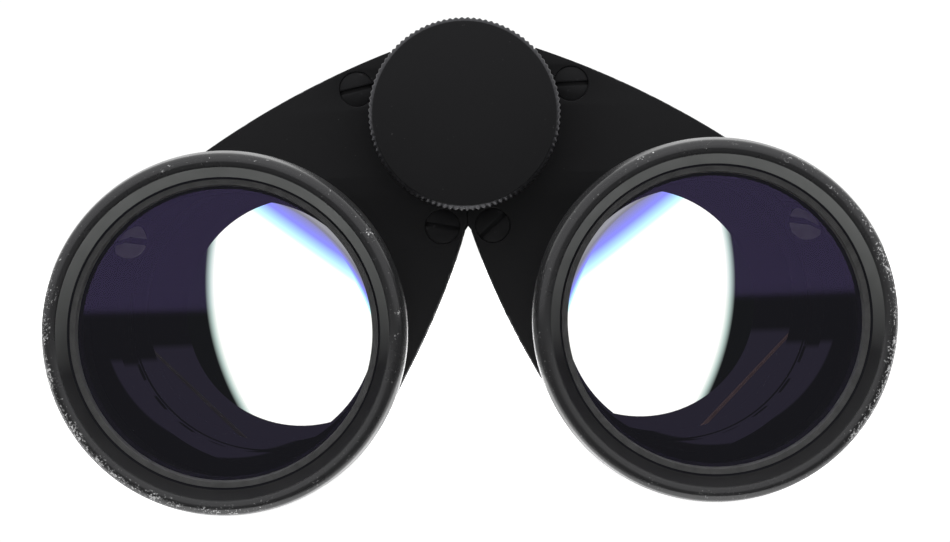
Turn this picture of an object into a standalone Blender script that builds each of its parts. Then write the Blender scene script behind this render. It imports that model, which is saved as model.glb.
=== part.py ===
"""Roof-prism binoculars of the 8x32 class, folded to their smallest eye spacing.

X runs across the barrels, Y from the objectives (front) to the eyepieces, Z up.
The left half is the one held to the user's left eye, at +X.  All sizes below are
millimetres; the helpers turn them into metres.  A "station" is a distance behind
the front rims, and cross-section outlines are drawn around the hinge axis.
"""
import math

import bpy
import bmesh
from mathutils import Matrix, Vector

MM = 0.001
FRONT_Y = -61.0
SIDES = (("left", 1.0), ("right", -1.0))

# Layout of the two barrels around the hinge
AXIS_HALF_SPACING = 27.25
AXIS_DROP = 24.7
BODY_RADIUS = 20.3
HINGE_Z = BODY_RADIUS + AXIS_DROP
HINGE_PLACE = (0.0, 0.0, HINGE_Z)
BARREL_CENTRE = (AXIS_HALF_SPACING, -AXIS_DROP)
ARM_LENGTH = math.hypot(AXIS_HALF_SPACING, AXIS_DROP)
ARM_ANGLE = math.degrees(math.atan2(-AXIS_DROP, AXIS_HALF_SPACING))
GAP = 0.3

# Outline of one half: a round barrel end and two bulged edges to the hinge
TOP_CORNER = (9.1, 8.5)
TOP_TANGENT = 52.0
TOP_BULGE = 1.45
LOW_CORNER = (0.15, -13.3)
LOW_TANGENT = -155.0
LOW_BULGE = 0.6

# Stations of the body
BARREL_END = 37.2
PLATE_FRONT, PLATE_BACK = 37.5, 40.0
HOUSING_FRONT, HOUSING_BACK = 40.3, 91.7
REAR_PLATE_FRONT, REAR_PLATE_BACK = 92.0, 94.2

# Shells
LEATHER = 0.7
HOUSING_INSET = LEATHER + GAP
WALL = 1.4
PLATE_INSET = 0.2
PLATE_INNER_RADIUS = 9.0
BARREL_SPIGOT_RADIUS = 17.1
EYE_SPIGOT_RADIUS = 11.9

# Objective: barrel, lens and retaining ring
TUBE_RADIUS, TUBE_BORE = 18.2, 16.0
BELL_START, BELL_END = 12.0, 6.6
RIM_LAND = (19.3, 18.75)
LENS_BORE, LENS_SEAT = 17.3, 11.3
LENS_RADIUS, LENS_BACK = 17.0, 11.0
LENS_VERTEX, LENS_CURVE = 2.5, 62.5
RING_BORE = 16.4
RING_FRONT, RING_BACK = 2.1, 4.3

# Prisms and their mount
MOUNT_RADIUS, MOUNT_BORE, MOUNT_OPENING = 16.5, 15.3, 11.0
MOUNT_FRONT, MOUNT_WALL_BACK, MOUNT_BACK = 56.6, 58.4, 90.4
PRISM_HALF = 9.0
HELPER_FRONT, HELPER_BACK, HELPER_SLANT = 78.0, 85.0, 5.0
ROOF_FRONT = HELPER_BACK + 0.4

# Eyepiece: tube, lenses, collar and cup
EYE_TUBE_RADIUS, EYE_TUBE_BORE = 12.6, 11.2
EYE_FLANGE_RADIUS = 14.4
EYE_FLANGE_FRONT, EYE_FLANGE_BACK, EYE_TUBE_BACK = 94.5, 95.2, 118.0
EYE_LENS_RADIUS = 10.9
FIELD_LENS_MIDDLE, EYE_LENS_MIDDLE = 99.2, 114.0
COLLAR_RADIUS, COLLAR_FRONT, COLLAR_BACK = 15.8, 95.6, 102.8
CUP_RADIUS, CUP_MOUTH = 16.2, 10.6
CUP_FRONT, CUP_BACK = 103.4, 122.0

# Strap lug
LUG_ANGLE = 20.0
LUG_FRONT, LUG_BACK = 75.0, 83.0
LUG_WIRE = 1.0

# Hinge
KNUCKLE_RADIUS = 11.0
KNUCKLE_CLEARANCE = 12.1
AXLE_RADIUS = 4.0
FRONT_DRUM = (HOUSING_FRONT, 56.2)
MIDDLE_KNUCKLE = (56.5, 76.5)
REAR_KNUCKLE = (76.8, HOUSING_BACK)
WEB_STEP = 0.4
CHAMBER = (41.6, 55.0)
WINDOW = (41.9, 54.7)
CHAMBER_RADIUS = 9.3

# Focusing
WHEEL_FRONT, WHEEL_BACK = 27.2, 35.0
WHEEL_TEETH = 100
WHEEL_TIP, WHEEL_ROOT = 11.55, 11.3
DISC_FRONT = 26.2
DISC_RADIUS, DISC_SPIGOT = 11.05, 9.5
SPINDLE_RADIUS = 2.4
NUT_RADIUS = 5.0
NUT_MIDDLE = 48.3
NUT_HALF_LENGTH = 3.0
FLANGE = 0.8
CELL_RADIUS, CELL_BORE = 13.3, 12.3

# Fasteners: distance from the hinge axis and angle around it
SCREW_RING = 13.75
SCREW_ANGLES = (("lower", -77.0), ("upper", 16.0))
SCREW_HEAD = 2.15
REAR_SCREW_RING = 15.2
REAR_SCREW_ANGLES = (("lower", -70.0), ("upper", 3.0))
REAR_SCREW_HEAD = 1.7
GUIDE_OFFSET = 14.2
GUIDE_ANGLE = 33.0
GUIDE_FRONT = 41.6
GUIDE_RADIUS = 0.9

# Rounding: steps around large, middle and small turned pieces
FINE, MEDIUM, SMALL = 36, 24, 12


# ---------------------------------------------------------------- helpers

def clear_scene():
    for item in list(bpy.data.objects):
        bpy.data.objects.remove(item)


def new_collection(name):
    collection = bpy.data.collections.new(name)
    bpy.context.scene.collection.children.link(collection)
    return collection


def finish_material(name, colour, roughness, metallic=0.0):
    material = bpy.data.materials.get(name)
    if material is None:
        material = bpy.data.materials.new(name)
        material.use_nodes = True
        shader = material.node_tree.nodes["Principled BSDF"]
        shader.inputs["Base Color"].default_value = (*colour, 1.0)
        shader.inputs["Roughness"].default_value = roughness
        shader.inputs["Metallic"].default_value = metallic
        material.diffuse_color = (*colour, 1.0)
    return material


FINISHES = {
    "gloss_enamel": ((0.012, 0.012, 0.013), 0.18, 0.0),
    "satin_plate": ((0.015, 0.015, 0.017), 0.42, 0.0),
    "anodised": ((0.02, 0.02, 0.022), 0.35, 0.6),
    "black_screw": ((0.03, 0.03, 0.032), 0.3, 0.8),
    "leather": ((0.02, 0.02, 0.02), 0.7, 0.0),
    "lens_glass": ((0.25, 0.2, 0.35), 0.05, 0.0),
    "prism_glass": ((0.7, 0.8, 0.8), 0.05, 0.0),
    "steel": ((0.5, 0.5, 0.5), 0.3, 1.0),
    "brass": ((0.6, 0.45, 0.2), 0.35, 1.0),
    "rubber": ((0.02, 0.02, 0.02), 0.8, 0.0),
}


def add_object(name, mesh, finish, parent=None, location=(0.0, 0.0, 0.0), rotation=(0.0, 0.0, 0.0)):
    """Link a mesh as one sub-part; location is in millimetres, rotation in radians."""
    item = bpy.data.objects.new(name, mesh)
    PARTS.objects.link(item)
    if finish:
        mesh.materials.append(finish_material(finish, *FINISHES[finish]))
    item.location = Vector(location) * MM
    item.rotation_euler = rotation
    if parent is not None:
        item.parent = parent
        item.matrix_parent_inverse = Matrix.Translation(-parent.location)
    return item


def polar(radius, degrees, centre=(0.0, 0.0)):
    angle = math.radians(degrees)
    return (centre[0] + radius * math.cos(angle), centre[1] + radius * math.sin(angle))


def arc(radius, start, end, steps, centre=(0.0, 0.0)):
    return [polar(radius, start + (end - start) * i / steps, centre) for i in range(steps + 1)]


def bulged(start, end, bulge, steps):
    """Points from start to end that swell to the left of the way by bulge."""
    run = Vector(end) - Vector(start)
    side = Vector((-run.y, run.x)).normalized()
    points = []
    for i in range(steps + 1):
        t = i / steps
        point = Vector(start) + run * t + side * bulge * 4.0 * t * (1.0 - t)
        points.append((point.x, point.y))
    return points


def mirrored(points, sign):
    """The same outline on the other side of the hinge, still running the same way round."""
    if sign > 0.0:
        return list(points)
    return [(-x, z) for x, z in reversed(points)]


def barrel_axis_place(sign):
    return (sign * AXIS_HALF_SPACING, 0.0, HINGE_Z - AXIS_DROP)


def turned(name, profile, place, finish, parent=None, steps=MEDIUM, ring=True):
    """Turn a profile of (radius, station) points about a line along Y.

    The profile runs from back to front down its outer side; a ring's profile
    closes on itself, and a solid's profile starts and ends on the axis.
    """
    mesh = bpy.data.meshes.new(name)
    shape = bmesh.new()
    verts = [shape.verts.new((radius * MM, 0.0, station * MM)) for radius, station in profile]
    for first, second in zip(verts, verts[1:]):
        shape.edges.new((first, second))
    if ring:
        shape.edges.new((verts[-1], verts[0]))
    shape.to_mesh(mesh)
    shape.free()
    location = (place[0], FRONT_Y, place[2])
    item = add_object(name, mesh, finish, parent, location, (-math.pi / 2.0, 0.0, 0.0))
    screw = item.modifiers.new("turn", 'SCREW')
    screw.axis = 'Z'
    screw.steps = steps
    screw.render_steps = steps
    screw.use_merge_vertices = True
    screw.merge_threshold = 0.00001
    screw.use_smooth_shade = True
    return item


def rod(name, radius, front, back, place, finish, parent=None, steps=SMALL):
    profile = [(0.0, back), (radius, back), (radius, front), (0.0, front)]
    return turned(name, profile, place, finish, parent, steps, ring=False)


def flat_piece(name, outline, front, back, finish, parent=None, place=(0.0, 0.0, HINGE_Z)):
    """A flat outline drawn across the barrels, thickened from front to back."""
    curve = bpy.data.curves.new(name, 'CURVE')
    curve.dimensions = '2D'
    curve.fill_mode = 'BOTH'
    curve.extrude = (back - front) / 2.0 * MM
    spline = curve.splines.new('POLY')
    spline.points.add(len(outline) - 1)
    for point, (x, z) in zip(spline.points, outline):
        point.co = (x * MM, z * MM, 0.0, 1.0)
    spline.use_cyclic_u = True
    return curve_to_part(name, curve, finish, parent,
                         (place[0], FRONT_Y + (front + back) / 2.0, place[2]),
                         (math.pi / 2.0, 0.0, 0.0))


def curve_to_part(name, curve, finish, parent, location, rotation):
    """Turn a curve into a mesh with welded caps, so that it can be cut and joined."""
    guide = bpy.data.objects.new(name + "_curve", curve)
    bpy.context.scene.collection.objects.link(guide)
    graph = bpy.context.evaluated_depsgraph_get()
    mesh = bpy.data.meshes.new_from_object(guide.evaluated_get(graph))
    bpy.data.objects.remove(guide)
    shape = bmesh.new()
    shape.from_mesh(mesh)
    bmesh.ops.remove_doubles(shape, verts=shape.verts, dist=0.000002)
    bmesh.ops.recalc_face_normals(shape, faces=shape.faces)
    shape.to_mesh(mesh)
    shape.free()
    mesh.materials.clear()
    return add_object(name, mesh, finish, parent, location, rotation)


def combine(target, tool, operation):
    """Cut target with tool, or join tool to it; the tool itself is not a part."""
    modifier = target.modifiers.new(tool.name, 'BOOLEAN')
    modifier.operation = operation
    modifier.object = tool
    tool.hide_render = True
    tool.display_type = 'WIRE'
    PARTS.objects.unlink(tool)
    CUTTERS.objects.link(tool)


def cut(target, tool):
    combine(target, tool, 'DIFFERENCE')


def join(target, tool):
    combine(target, tool, 'UNION')


def pivot(name, place):
    """An empty on a joint's axis, which carries the pieces that move about it."""
    item = bpy.data.objects.new(name, None)
    item.location = Vector(place) * MM
    item.empty_display_size = 0.01
    PARTS.objects.link(item)
    return item


# ---------------------------------------------------------------- outlines

def half_outline(inset, inner_radius, sign):
    """The cross-section of one half, drawn in by inset, hollowed around the hinge."""
    radius = BODY_RADIUS - inset
    top = (TOP_CORNER[0] - 0.49 * inset, TOP_CORNER[1] - 0.87 * inset)
    low = (LOW_CORNER[0] + inset, LOW_CORNER[1] + 0.22 * inset)
    top_end = polar(radius, TOP_TANGENT, BARREL_CENTRE)
    low_end = polar(radius, LOW_TANGENT, BARREL_CENTRE)
    top_angle = math.degrees(math.atan2(top[1], top[0]))
    low_angle = math.degrees(-math.acos(low[0] / inner_radius))
    points = bulged(top, top_end, TOP_BULGE, 6)
    points += arc(radius, TOP_TANGENT, LOW_TANGENT, 22, BARREL_CENTRE)[1:]
    points += bulged(low_end, low, LOW_BULGE, 4)[1:]
    points += arc(inner_radius, low_angle, top_angle, 10)
    return mirrored(points, sign)


def wrap_outline(sign):
    """The leather strip: the outer path of the half and the same path drawn in."""
    outer = open_path(0.0)
    inner = open_path(LEATHER)
    return mirrored(outer + inner[::-1], sign)


def open_path(inset):
    radius = BODY_RADIUS - inset
    top = (TOP_CORNER[0] - 0.49 * inset, TOP_CORNER[1] - 0.87 * inset)
    low = (LOW_CORNER[0] + 0.42 * inset, LOW_CORNER[1] - 0.4 * inset)
    path = bulged(top, polar(radius, TOP_TANGENT, BARREL_CENTRE), TOP_BULGE, 6)
    path += arc(radius, TOP_TANGENT, LOW_TANGENT, 22, BARREL_CENTRE)[1:]
    path += bulged(polar(radius, LOW_TANGENT, BARREL_CENTRE), low, LOW_BULGE, 4)[1:]
    return path


def arm_block(near, far, low, high, sign):
    """A rectangle laid along the arm from the hinge to the barrel axis."""
    turn = math.radians(ARM_ANGLE)
    corners = [(near, low), (far, low), (far, high), (near, high)]
    points = [(a * math.cos(turn) - b * math.sin(turn), a * math.sin(turn) + b * math.cos(turn))
              for a, b in corners]
    return mirrored(points, sign)


def screw_place(angle, sign, ring=SCREW_RING):
    x, z = polar(ring, angle)
    return (sign * x, 0.0, HINGE_Z + z)


# ---------------------------------------------------------------- pieces

def slotted_screw(name, place, face, head, shank, length, tilt, finish, parent):
    """A flat-headed slotted screw lying along Y, its slot turned by tilt degrees.

    Its head's flat is at station face, and a negative length runs forwards from it.
    """
    way = math.copysign(1.0, length)
    profile = [(0.0, face + length), (shank, face + length), (shank, face + 1.4 * way),
               (head, face + 1.4 * way), (head, face + 0.25 * way), (head - 0.25, face),
               (0.0, face)]
    if length < 0.0:
        profile.reverse()
    screw = turned(name, profile, place, finish, parent, SMALL + 4, ring=False)
    half = head + 0.5
    slot = [(-half, -0.25), (half, -0.25), (half, 0.25), (-half, 0.25)]
    turn = math.radians(tilt)
    slot = [(x * math.cos(turn) - z * math.sin(turn), x * math.sin(turn) + z * math.cos(turn))
            for x, z in slot]
    cut(screw, flat_piece(name + "_slot", slot, face - 0.6, face + 0.6, None, None, place))
    return screw


def objective_barrel(side, sign, parent):
    """A tube with a belled, rounded front, chamfered down to the lens bore."""
    spigot_end = HOUSING_FRONT + 1.2
    middle = (TUBE_RADIUS + BODY_RADIUS) / 2.0
    profile = [
        (BARREL_SPIGOT_RADIUS, spigot_end), (BARREL_SPIGOT_RADIUS, BARREL_END),
        (TUBE_RADIUS, BARREL_END), (TUBE_RADIUS, BELL_START),
        (middle, (BELL_START + BELL_END) / 2.0), (BODY_RADIUS, BELL_END),
        (BODY_RADIUS, 4.4), (BODY_RADIUS - 0.15, 1.5), (BODY_RADIUS - 0.45, 0.5),
        (RIM_LAND[0], 0.0), (RIM_LAND[1], 0.0), (RIM_LAND[1] - 0.4, 0.25),
        (LENS_BORE, 1.9), (LENS_BORE, LENS_SEAT), (TUBE_BORE, LENS_SEAT),
        (TUBE_BORE, spigot_end)]
    turned(side + "_objective_barrel", profile, barrel_axis_place(sign), "gloss_enamel",
           parent, FINE)


def objective_lens(side, sign, parent):
    """A bulged front face and a flat back, held against a shoulder by a threaded ring."""
    steps = 4
    heights = [LENS_RADIUS * (steps - i) / steps for i in range(steps + 1)]
    front = [(radius, LENS_VERTEX + radius * radius / (2.0 * LENS_CURVE)) for radius in heights]
    profile = [(0.0, LENS_BACK - 0.4), (LENS_RADIUS, LENS_BACK)] + front
    turned(side + "_objective_lens", profile, barrel_axis_place(sign), "lens_glass",
           parent, FINE, ring=False)
    crest = (LENS_RADIUS + RING_BORE) / 2.0
    ring = [(LENS_RADIUS, RING_BACK), (LENS_RADIUS, RING_FRONT + 0.2), (crest, RING_FRONT),
            (RING_BORE, RING_FRONT + 0.2), (RING_BORE, RING_BACK)]
    turned(side + "_lens_ring", ring, barrel_axis_place(sign), "anodised", parent, FINE)


def front_plate(side, sign, parent):
    plate = flat_piece(side + "_front_plate", half_outline(PLATE_INSET, PLATE_INNER_RADIUS, sign),
                       PLATE_FRONT, PLATE_BACK, "satin_plate", parent)
    cut(plate, rod(side + "_plate_hole", BARREL_SPIGOT_RADIUS + GAP, PLATE_FRONT - 1.0,
                   PLATE_BACK + 1.0, barrel_axis_place(sign), None, None, FINE))
    for level, angle in SCREW_ANGLES:
        place = screw_place(angle, sign)
        cut(plate, rod(side + "_plate_hole_" + level, SCREW_HEAD + 0.15, PLATE_FRONT - 1.0,
                       PLATE_BACK + 1.0, place, None, None, SMALL + 4))


def plate_screws(side, sign, parent):
    tilts = {"left_lower": 42.0, "left_upper": 0.0, "right_lower": -10.0, "right_upper": 15.0}
    for level, angle in SCREW_ANGLES:
        tilt = tilts[side + "_" + level]
        slotted_screw(side + "_plate_screw_" + level, screw_place(angle, sign), PLATE_FRONT + 0.1,
                      SCREW_HEAD, 1.0, 6.0, tilt, "black_screw", parent)


def housing(side, sign, parent):
    """A cast shell, open in front and behind, with its hinge knuckles and screw posts."""
    shell = flat_piece(side + "_housing", half_outline(HOUSING_INSET, KNUCKLE_CLEARANCE, sign),
                       HOUSING_FRONT, HOUSING_BACK, "anodised", parent)
    hollow = flat_piece(side + "_hollow", half_outline(HOUSING_INSET + WALL, 9.0, sign),
                        HOUSING_FRONT - 1.0, HOUSING_BACK + 1.0, None)
    cut(hollow, rod(side + "_hollow_limit", KNUCKLE_CLEARANCE + WALL, HOUSING_FRONT - 2.0,
                    HOUSING_BACK + 2.0, HINGE_PLACE, None, None, MEDIUM))
    cut(shell, hollow)
    knuckles = (FRONT_DRUM, REAR_KNUCKLE) if side == "left" else (MIDDLE_KNUCKLE,)
    for number, (front, back) in enumerate(knuckles):
        label = side + "_knuckle_" + str(number)
        web = flat_piece(label + "_web", arm_block(6.0, KNUCKLE_CLEARANCE + 0.9, -7.0, 8.0, sign),
                         front + WEB_STEP, back - WEB_STEP, None)
        join(shell, web)
        join(shell, rod(label, KNUCKLE_RADIUS, front, back, HINGE_PLACE, None, None,
                        MEDIUM))
    cut(shell, rod(side + "_axle_hole", AXLE_RADIUS + GAP, CHAMBER[1] - 0.5, HOUSING_BACK + 1.0,
                   HINGE_PLACE, None, None, SMALL + 4))
    if side == "left":
        cut(shell, rod("chamber", CHAMBER_RADIUS, CHAMBER[0], CHAMBER[1], HINGE_PLACE,
                       None, None, MEDIUM))
        cut(shell, rod("spindle_hole", SPINDLE_RADIUS + GAP, HOUSING_FRONT - 1.0, CHAMBER[0] + 0.5,
                       HINGE_PLACE, None, None, SMALL + 4))
        swing = arc(KNUCKLE_RADIUS + 1.0, 145.0, 240.0, 8) + arc(7.0, 240.0, 145.0, 8)
        cut(shell, flat_piece("swing_window", swing, *WINDOW, None))
    cut(shell, flat_piece(side + "_arm_window", arm_block(6.0, 15.5, -3.2, 3.2, sign),
                          *WINDOW, None))
    for level, angle in SCREW_ANGLES:
        place = screw_place(angle, sign)
        join(shell, rod(side + "_post_" + level, 1.9, HOUSING_FRONT + 0.2, HOUSING_FRONT + 4.5, place,
                        None, None, SMALL))
        cut(shell, rod(side + "_post_hole_" + level, 1.3, HOUSING_FRONT - 1.0,
                       HOUSING_FRONT + 4.0, place, None, None, SMALL))


def leather_cover(side, sign, parent):
    flat_piece(side + "_leather_cover", wrap_outline(sign), HOUSING_FRONT, HOUSING_BACK,
               "leather", parent)


def rear_plate(side, sign, parent):
    plate = flat_piece(side + "_rear_plate", half_outline(PLATE_INSET, KNUCKLE_CLEARANCE, sign),
                       REAR_PLATE_FRONT, REAR_PLATE_BACK, "satin_plate", parent)
    cut(plate, rod(side + "_rear_hole", EYE_SPIGOT_RADIUS + GAP, REAR_PLATE_FRONT - 1.0,
                   REAR_PLATE_BACK + 1.0, barrel_axis_place(sign), None, None, MEDIUM))
    for level, angle in REAR_SCREW_ANGLES:
        place = screw_place(angle, sign, REAR_SCREW_RING)
        cut(plate, rod(side + "_rear_hole_" + level, REAR_SCREW_HEAD + 0.15,
                       REAR_PLATE_FRONT - 1.0, REAR_PLATE_BACK + 1.0, place, None, None,
                       SMALL + 4))
        slotted_screw(side + "_rear_screw_" + level, place, REAR_PLATE_BACK - 0.1,
                      REAR_SCREW_HEAD, 0.8, -2.0, 35.0 * sign, "black_screw", parent)


def guide_place(sign):
    x, z = polar(GUIDE_OFFSET, GUIDE_ANGLE, BARREL_CENTRE)
    return (sign * x, 0.0, HINGE_Z + z)


def prism_mount(side, sign, parent):
    """A cup behind the focusing lens: an opening in front, and the prisms inside it."""
    profile = [(MOUNT_RADIUS, MOUNT_BACK), (MOUNT_RADIUS, MOUNT_FRONT),
               (MOUNT_OPENING, MOUNT_FRONT), (MOUNT_OPENING, MOUNT_WALL_BACK),
               (MOUNT_BORE, MOUNT_WALL_BACK), (MOUNT_BORE, MOUNT_BACK)]
    mount = turned(side + "_prism_mount", profile, barrel_axis_place(sign), "anodised", parent,
                   MEDIUM)
    place = guide_place(sign)
    cut(mount, rod(side + "_mount_hole", GUIDE_RADIUS + GAP, MOUNT_FRONT - 1.0,
                   MOUNT_WALL_BACK + 1.0, place, None, None, SMALL))
    slotted_screw(side + "_guide_rod", place, GUIDE_FRONT, 1.7, GUIDE_RADIUS, 16.0,
                  sign * 30.0, "steel", parent)


def prisms(side, sign, parent):
    """The helper prism has a slanted back, and the roof prism a ridge along its top."""
    centre = barrel_axis_place(sign)
    half = PRISM_HALF
    square = [(-half, -half), (half, -half), (half, half), (-half, half)]
    block = flat_piece(side + "_helper_prism", square, HELPER_FRONT, HELPER_BACK,
                       "prism_glass", parent, centre)
    for vert in block.data.vertices:
        if vert.co.z < 0.0 and vert.co.y > 0.0:
            vert.co.z += HELPER_SLANT * MM
    house = [(-half, -half), (half, -half), (half, half - 5.0), (0.0, half + 2.0),
             (-half, half - 5.0)]
    flat_piece(side + "_roof_prism", house, ROOF_FRONT, MOUNT_BACK, "prism_glass", parent, centre)


def focus_carrier(side, sign, parent):
    """A lens cell on an arm; its eye rides on the drive nut, and its ear on a guide rod."""
    eye_front = NUT_MIDDLE - 1.9 if side == "left" else NUT_MIDDLE + 0.2
    front, back = NUT_MIDDLE - 2.0, NUT_MIDDLE + 2.0
    ring = [(CELL_RADIUS, back + 1.0), (CELL_RADIUS, front), (CELL_BORE, front),
            (CELL_BORE, back + 1.0)]
    carrier = turned(side + "_focus_carrier", ring, barrel_axis_place(sign), "anodised", parent,
                     MEDIUM)
    join(carrier, flat_piece(side + "_focus_arm",
                             arm_block(6.5, ARM_LENGTH - CELL_RADIUS + 0.8, -2.2, 2.2, sign),
                             eye_front, eye_front + 1.7, None))
    eye = [(7.6, eye_front + 1.7), (7.6, eye_front), (5.3, eye_front), (5.3, eye_front + 1.7)]
    join(carrier, turned(side + "_focus_eye", eye, HINGE_PLACE, None, None, MEDIUM))
    ear = guide_place(sign)
    join(carrier, rod(side + "_guide_ear", 2.2, NUT_MIDDLE - 1.0, NUT_MIDDLE + 1.0, ear, None,
                      None, SMALL))
    cut(carrier, rod(side + "_guide_bore", GUIDE_RADIUS + GAP, NUT_MIDDLE - 2.0, NUT_MIDDLE + 2.0,
                     ear, None, None, SMALL))
    rim = CELL_BORE - GAP
    lens = [(0.0, NUT_MIDDLE + 1.2), (rim, NUT_MIDDLE + 2.2), (rim, NUT_MIDDLE - 1.6),
            (0.0, NUT_MIDDLE - 0.6)]
    turned(side + "_focus_lens", lens, barrel_axis_place(sign), "lens_glass", parent, MEDIUM,
           ring=False)


def eyepiece(side, sign, parent, ocular_parent):
    """A flanged tube through the rear plate, with a lens near each end."""
    spigot_front = HOUSING_BACK - 0.7
    lip_front = EYE_TUBE_BACK - 0.6
    tube = [(EYE_TUBE_RADIUS, EYE_TUBE_BACK), (EYE_TUBE_RADIUS, EYE_FLANGE_BACK),
            (EYE_FLANGE_RADIUS, EYE_FLANGE_BACK), (EYE_FLANGE_RADIUS, EYE_FLANGE_FRONT),
            (EYE_SPIGOT_RADIUS, EYE_FLANGE_FRONT), (EYE_SPIGOT_RADIUS, spigot_front),
            (EYE_TUBE_BORE - 0.6, spigot_front), (EYE_TUBE_BORE - 0.6, EYE_FLANGE_FRONT + 0.5),
            (EYE_TUBE_BORE, EYE_FLANGE_FRONT + 0.5), (EYE_TUBE_BORE, lip_front),
            (EYE_TUBE_BORE - 1.0, lip_front), (EYE_TUBE_BORE - 1.0, EYE_TUBE_BACK)]
    place = barrel_axis_place(sign)
    turned(side + "_eyepiece_tube", tube, place, "anodised", parent, MEDIUM)
    rim = EYE_LENS_RADIUS
    field = [(0.0, FIELD_LENS_MIDDLE + 2.0), (rim, FIELD_LENS_MIDDLE + 0.8),
             (rim, FIELD_LENS_MIDDLE - 0.8), (0.0, FIELD_LENS_MIDDLE - 2.0)]
    turned(side + "_field_lens", field, place, "lens_glass", ocular_parent, MEDIUM, ring=False)
    eye = [(0.0, EYE_LENS_MIDDLE + 2.0), (rim * 0.65, EYE_LENS_MIDDLE + 1.6),
           (rim, EYE_LENS_MIDDLE + 0.6), (rim, EYE_LENS_MIDDLE - 1.4),
           (0.0, EYE_LENS_MIDDLE - 2.0)]
    turned(side + "_eye_lens", eye, place, "lens_glass", ocular_parent, MEDIUM, ring=False)


def eyecup(side, sign, parent):
    """A sleeve over the eyepiece tube, with a lip behind that keeps the eye at its distance."""
    bore = EYE_TUBE_RADIUS + GAP
    cup = [(CUP_RADIUS - 0.8, CUP_BACK), (CUP_RADIUS, CUP_BACK - 1.0), (CUP_RADIUS, CUP_FRONT),
           (bore, CUP_FRONT), (bore, EYE_TUBE_BACK + 0.5), (CUP_MOUTH, EYE_TUBE_BACK + 1.2),
           (CUP_MOUTH + 1.0, CUP_BACK)]
    turned(side + "_eyecup", cup, barrel_axis_place(sign), "rubber", parent, MEDIUM)


def collar(name, sign, parent):
    """A ring round the foot of the eyepiece tube, with both outer corners broken."""
    bore = EYE_TUBE_RADIUS + GAP
    corner = 0.6
    ring = [(COLLAR_RADIUS - corner, COLLAR_BACK), (COLLAR_RADIUS, COLLAR_BACK - corner),
            (COLLAR_RADIUS, COLLAR_FRONT + corner), (COLLAR_RADIUS - corner, COLLAR_FRONT),
            (bore, COLLAR_FRONT), (bore, COLLAR_BACK)]
    turned(name, ring, barrel_axis_place(sign), "anodised", parent, MEDIUM)


def strap_lug(side, sign, parent):
    """A bent bar that the neck strap loops through, on the outer side near the back."""
    tilt = math.radians(LUG_ANGLE)
    stations = (LUG_FRONT, LUG_FRONT + 0.2, LUG_FRONT + 1.4,
                LUG_BACK - 1.4, LUG_BACK - 0.2, LUG_BACK)
    rises = (0.6, 2.3, 3.3, 3.3, 2.3, 0.6)
    curve = bpy.data.curves.new(side + "_strap_lug", 'CURVE')
    curve.dimensions = '3D'
    curve.bevel_depth = LUG_WIRE * MM
    curve.bevel_resolution = 2
    curve.use_fill_caps = True
    spline = curve.splines.new('POLY')
    spline.points.add(len(stations) - 1)
    for point, station, rise in zip(spline.points, stations, rises):
        height = BODY_RADIUS + rise
        place = Vector((sign * height * math.cos(tilt), station, height * math.sin(tilt))) * MM
        point.co = (*place, 1.0)
    centre = barrel_axis_place(sign)
    curve_to_part(side + "_strap_lug", curve, "steel", parent, (centre[0], FRONT_Y, centre[2]),
                  (0.0, 0.0, 0.0))


def focus_wheel(parent):
    """A drum with straight teeth all round, a boss behind, and a face disc in front."""
    outline = []
    for tooth in range(WHEEL_TEETH):
        step = 360.0 / WHEEL_TEETH
        outline.append(polar(WHEEL_TIP, tooth * step))
        outline.append(polar(WHEEL_ROOT, (tooth + 0.5) * step))
    wheel = flat_piece("focus_wheel", outline, WHEEL_FRONT, WHEEL_BACK, "gloss_enamel", parent)
    hinge = HINGE_PLACE
    join(wheel, rod("wheel_boss", 7.0, WHEEL_BACK - 1.0, 37.0, hinge, None, None, MEDIUM))
    cut(wheel, rod("wheel_recess", DISC_SPIGOT + GAP, WHEEL_FRONT - 1.0, WHEEL_FRONT + 1.3, hinge,
                   None, None, FINE))
    cut(wheel, rod("wheel_bore", SPINDLE_RADIUS + GAP, WHEEL_FRONT, 38.0, hinge, None, None,
                   SMALL + 4))
    lip_back, spigot_back = WHEEL_FRONT - GAP, WHEEL_FRONT + 1.0
    disc = [(0.0, spigot_back), (DISC_SPIGOT, spigot_back), (DISC_SPIGOT, lip_back),
            (DISC_RADIUS, lip_back), (DISC_RADIUS, DISC_FRONT + 0.15),
            (DISC_RADIUS - 0.15, DISC_FRONT), (0.0, DISC_FRONT)]
    turned("wheel_face_disc", disc, hinge, "satin_plate", parent, FINE, ring=False)
    rod("focus_spindle", SPINDLE_RADIUS, WHEEL_FRONT + 1.4, 54.0, hinge, "steel", parent,
        SMALL + 4)


def drive_nut(parent):
    """A brass nut on the spindle's thread, with a flange at each end of its neck."""
    front, back = NUT_MIDDLE - NUT_HALF_LENGTH, NUT_MIDDLE + NUT_HALF_LENGTH
    flange = NUT_RADIUS + 2.8
    bore = SPINDLE_RADIUS + GAP
    profile = [(flange, back), (flange, back - FLANGE), (NUT_RADIUS, back - FLANGE),
               (NUT_RADIUS, front + FLANGE), (flange, front + FLANGE), (flange, front),
               (bore, front), (bore, back)]
    turned("drive_nut", profile, HINGE_PLACE, "brass", parent, SMALL + 4)


def hinge_pin(parent):
    hinge = HINGE_PLACE
    rod("hinge_axle", AXLE_RADIUS, CHAMBER[1] + 0.2, HOUSING_BACK - 0.1, hinge, "steel", parent,
        SMALL + 4)
    cap = [(0.0, 94.2), (9.6, 94.2), (10.8, 93.4), (10.8, 92.0), (0.0, 92.0)]
    turned("hinge_rear_cap", cap, hinge, "satin_plate", parent, FINE, ring=False)


# ---------------------------------------------------------------- assembly

clear_scene()
PARTS = new_collection("binoculars")
CUTTERS = new_collection("cutters")

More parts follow.
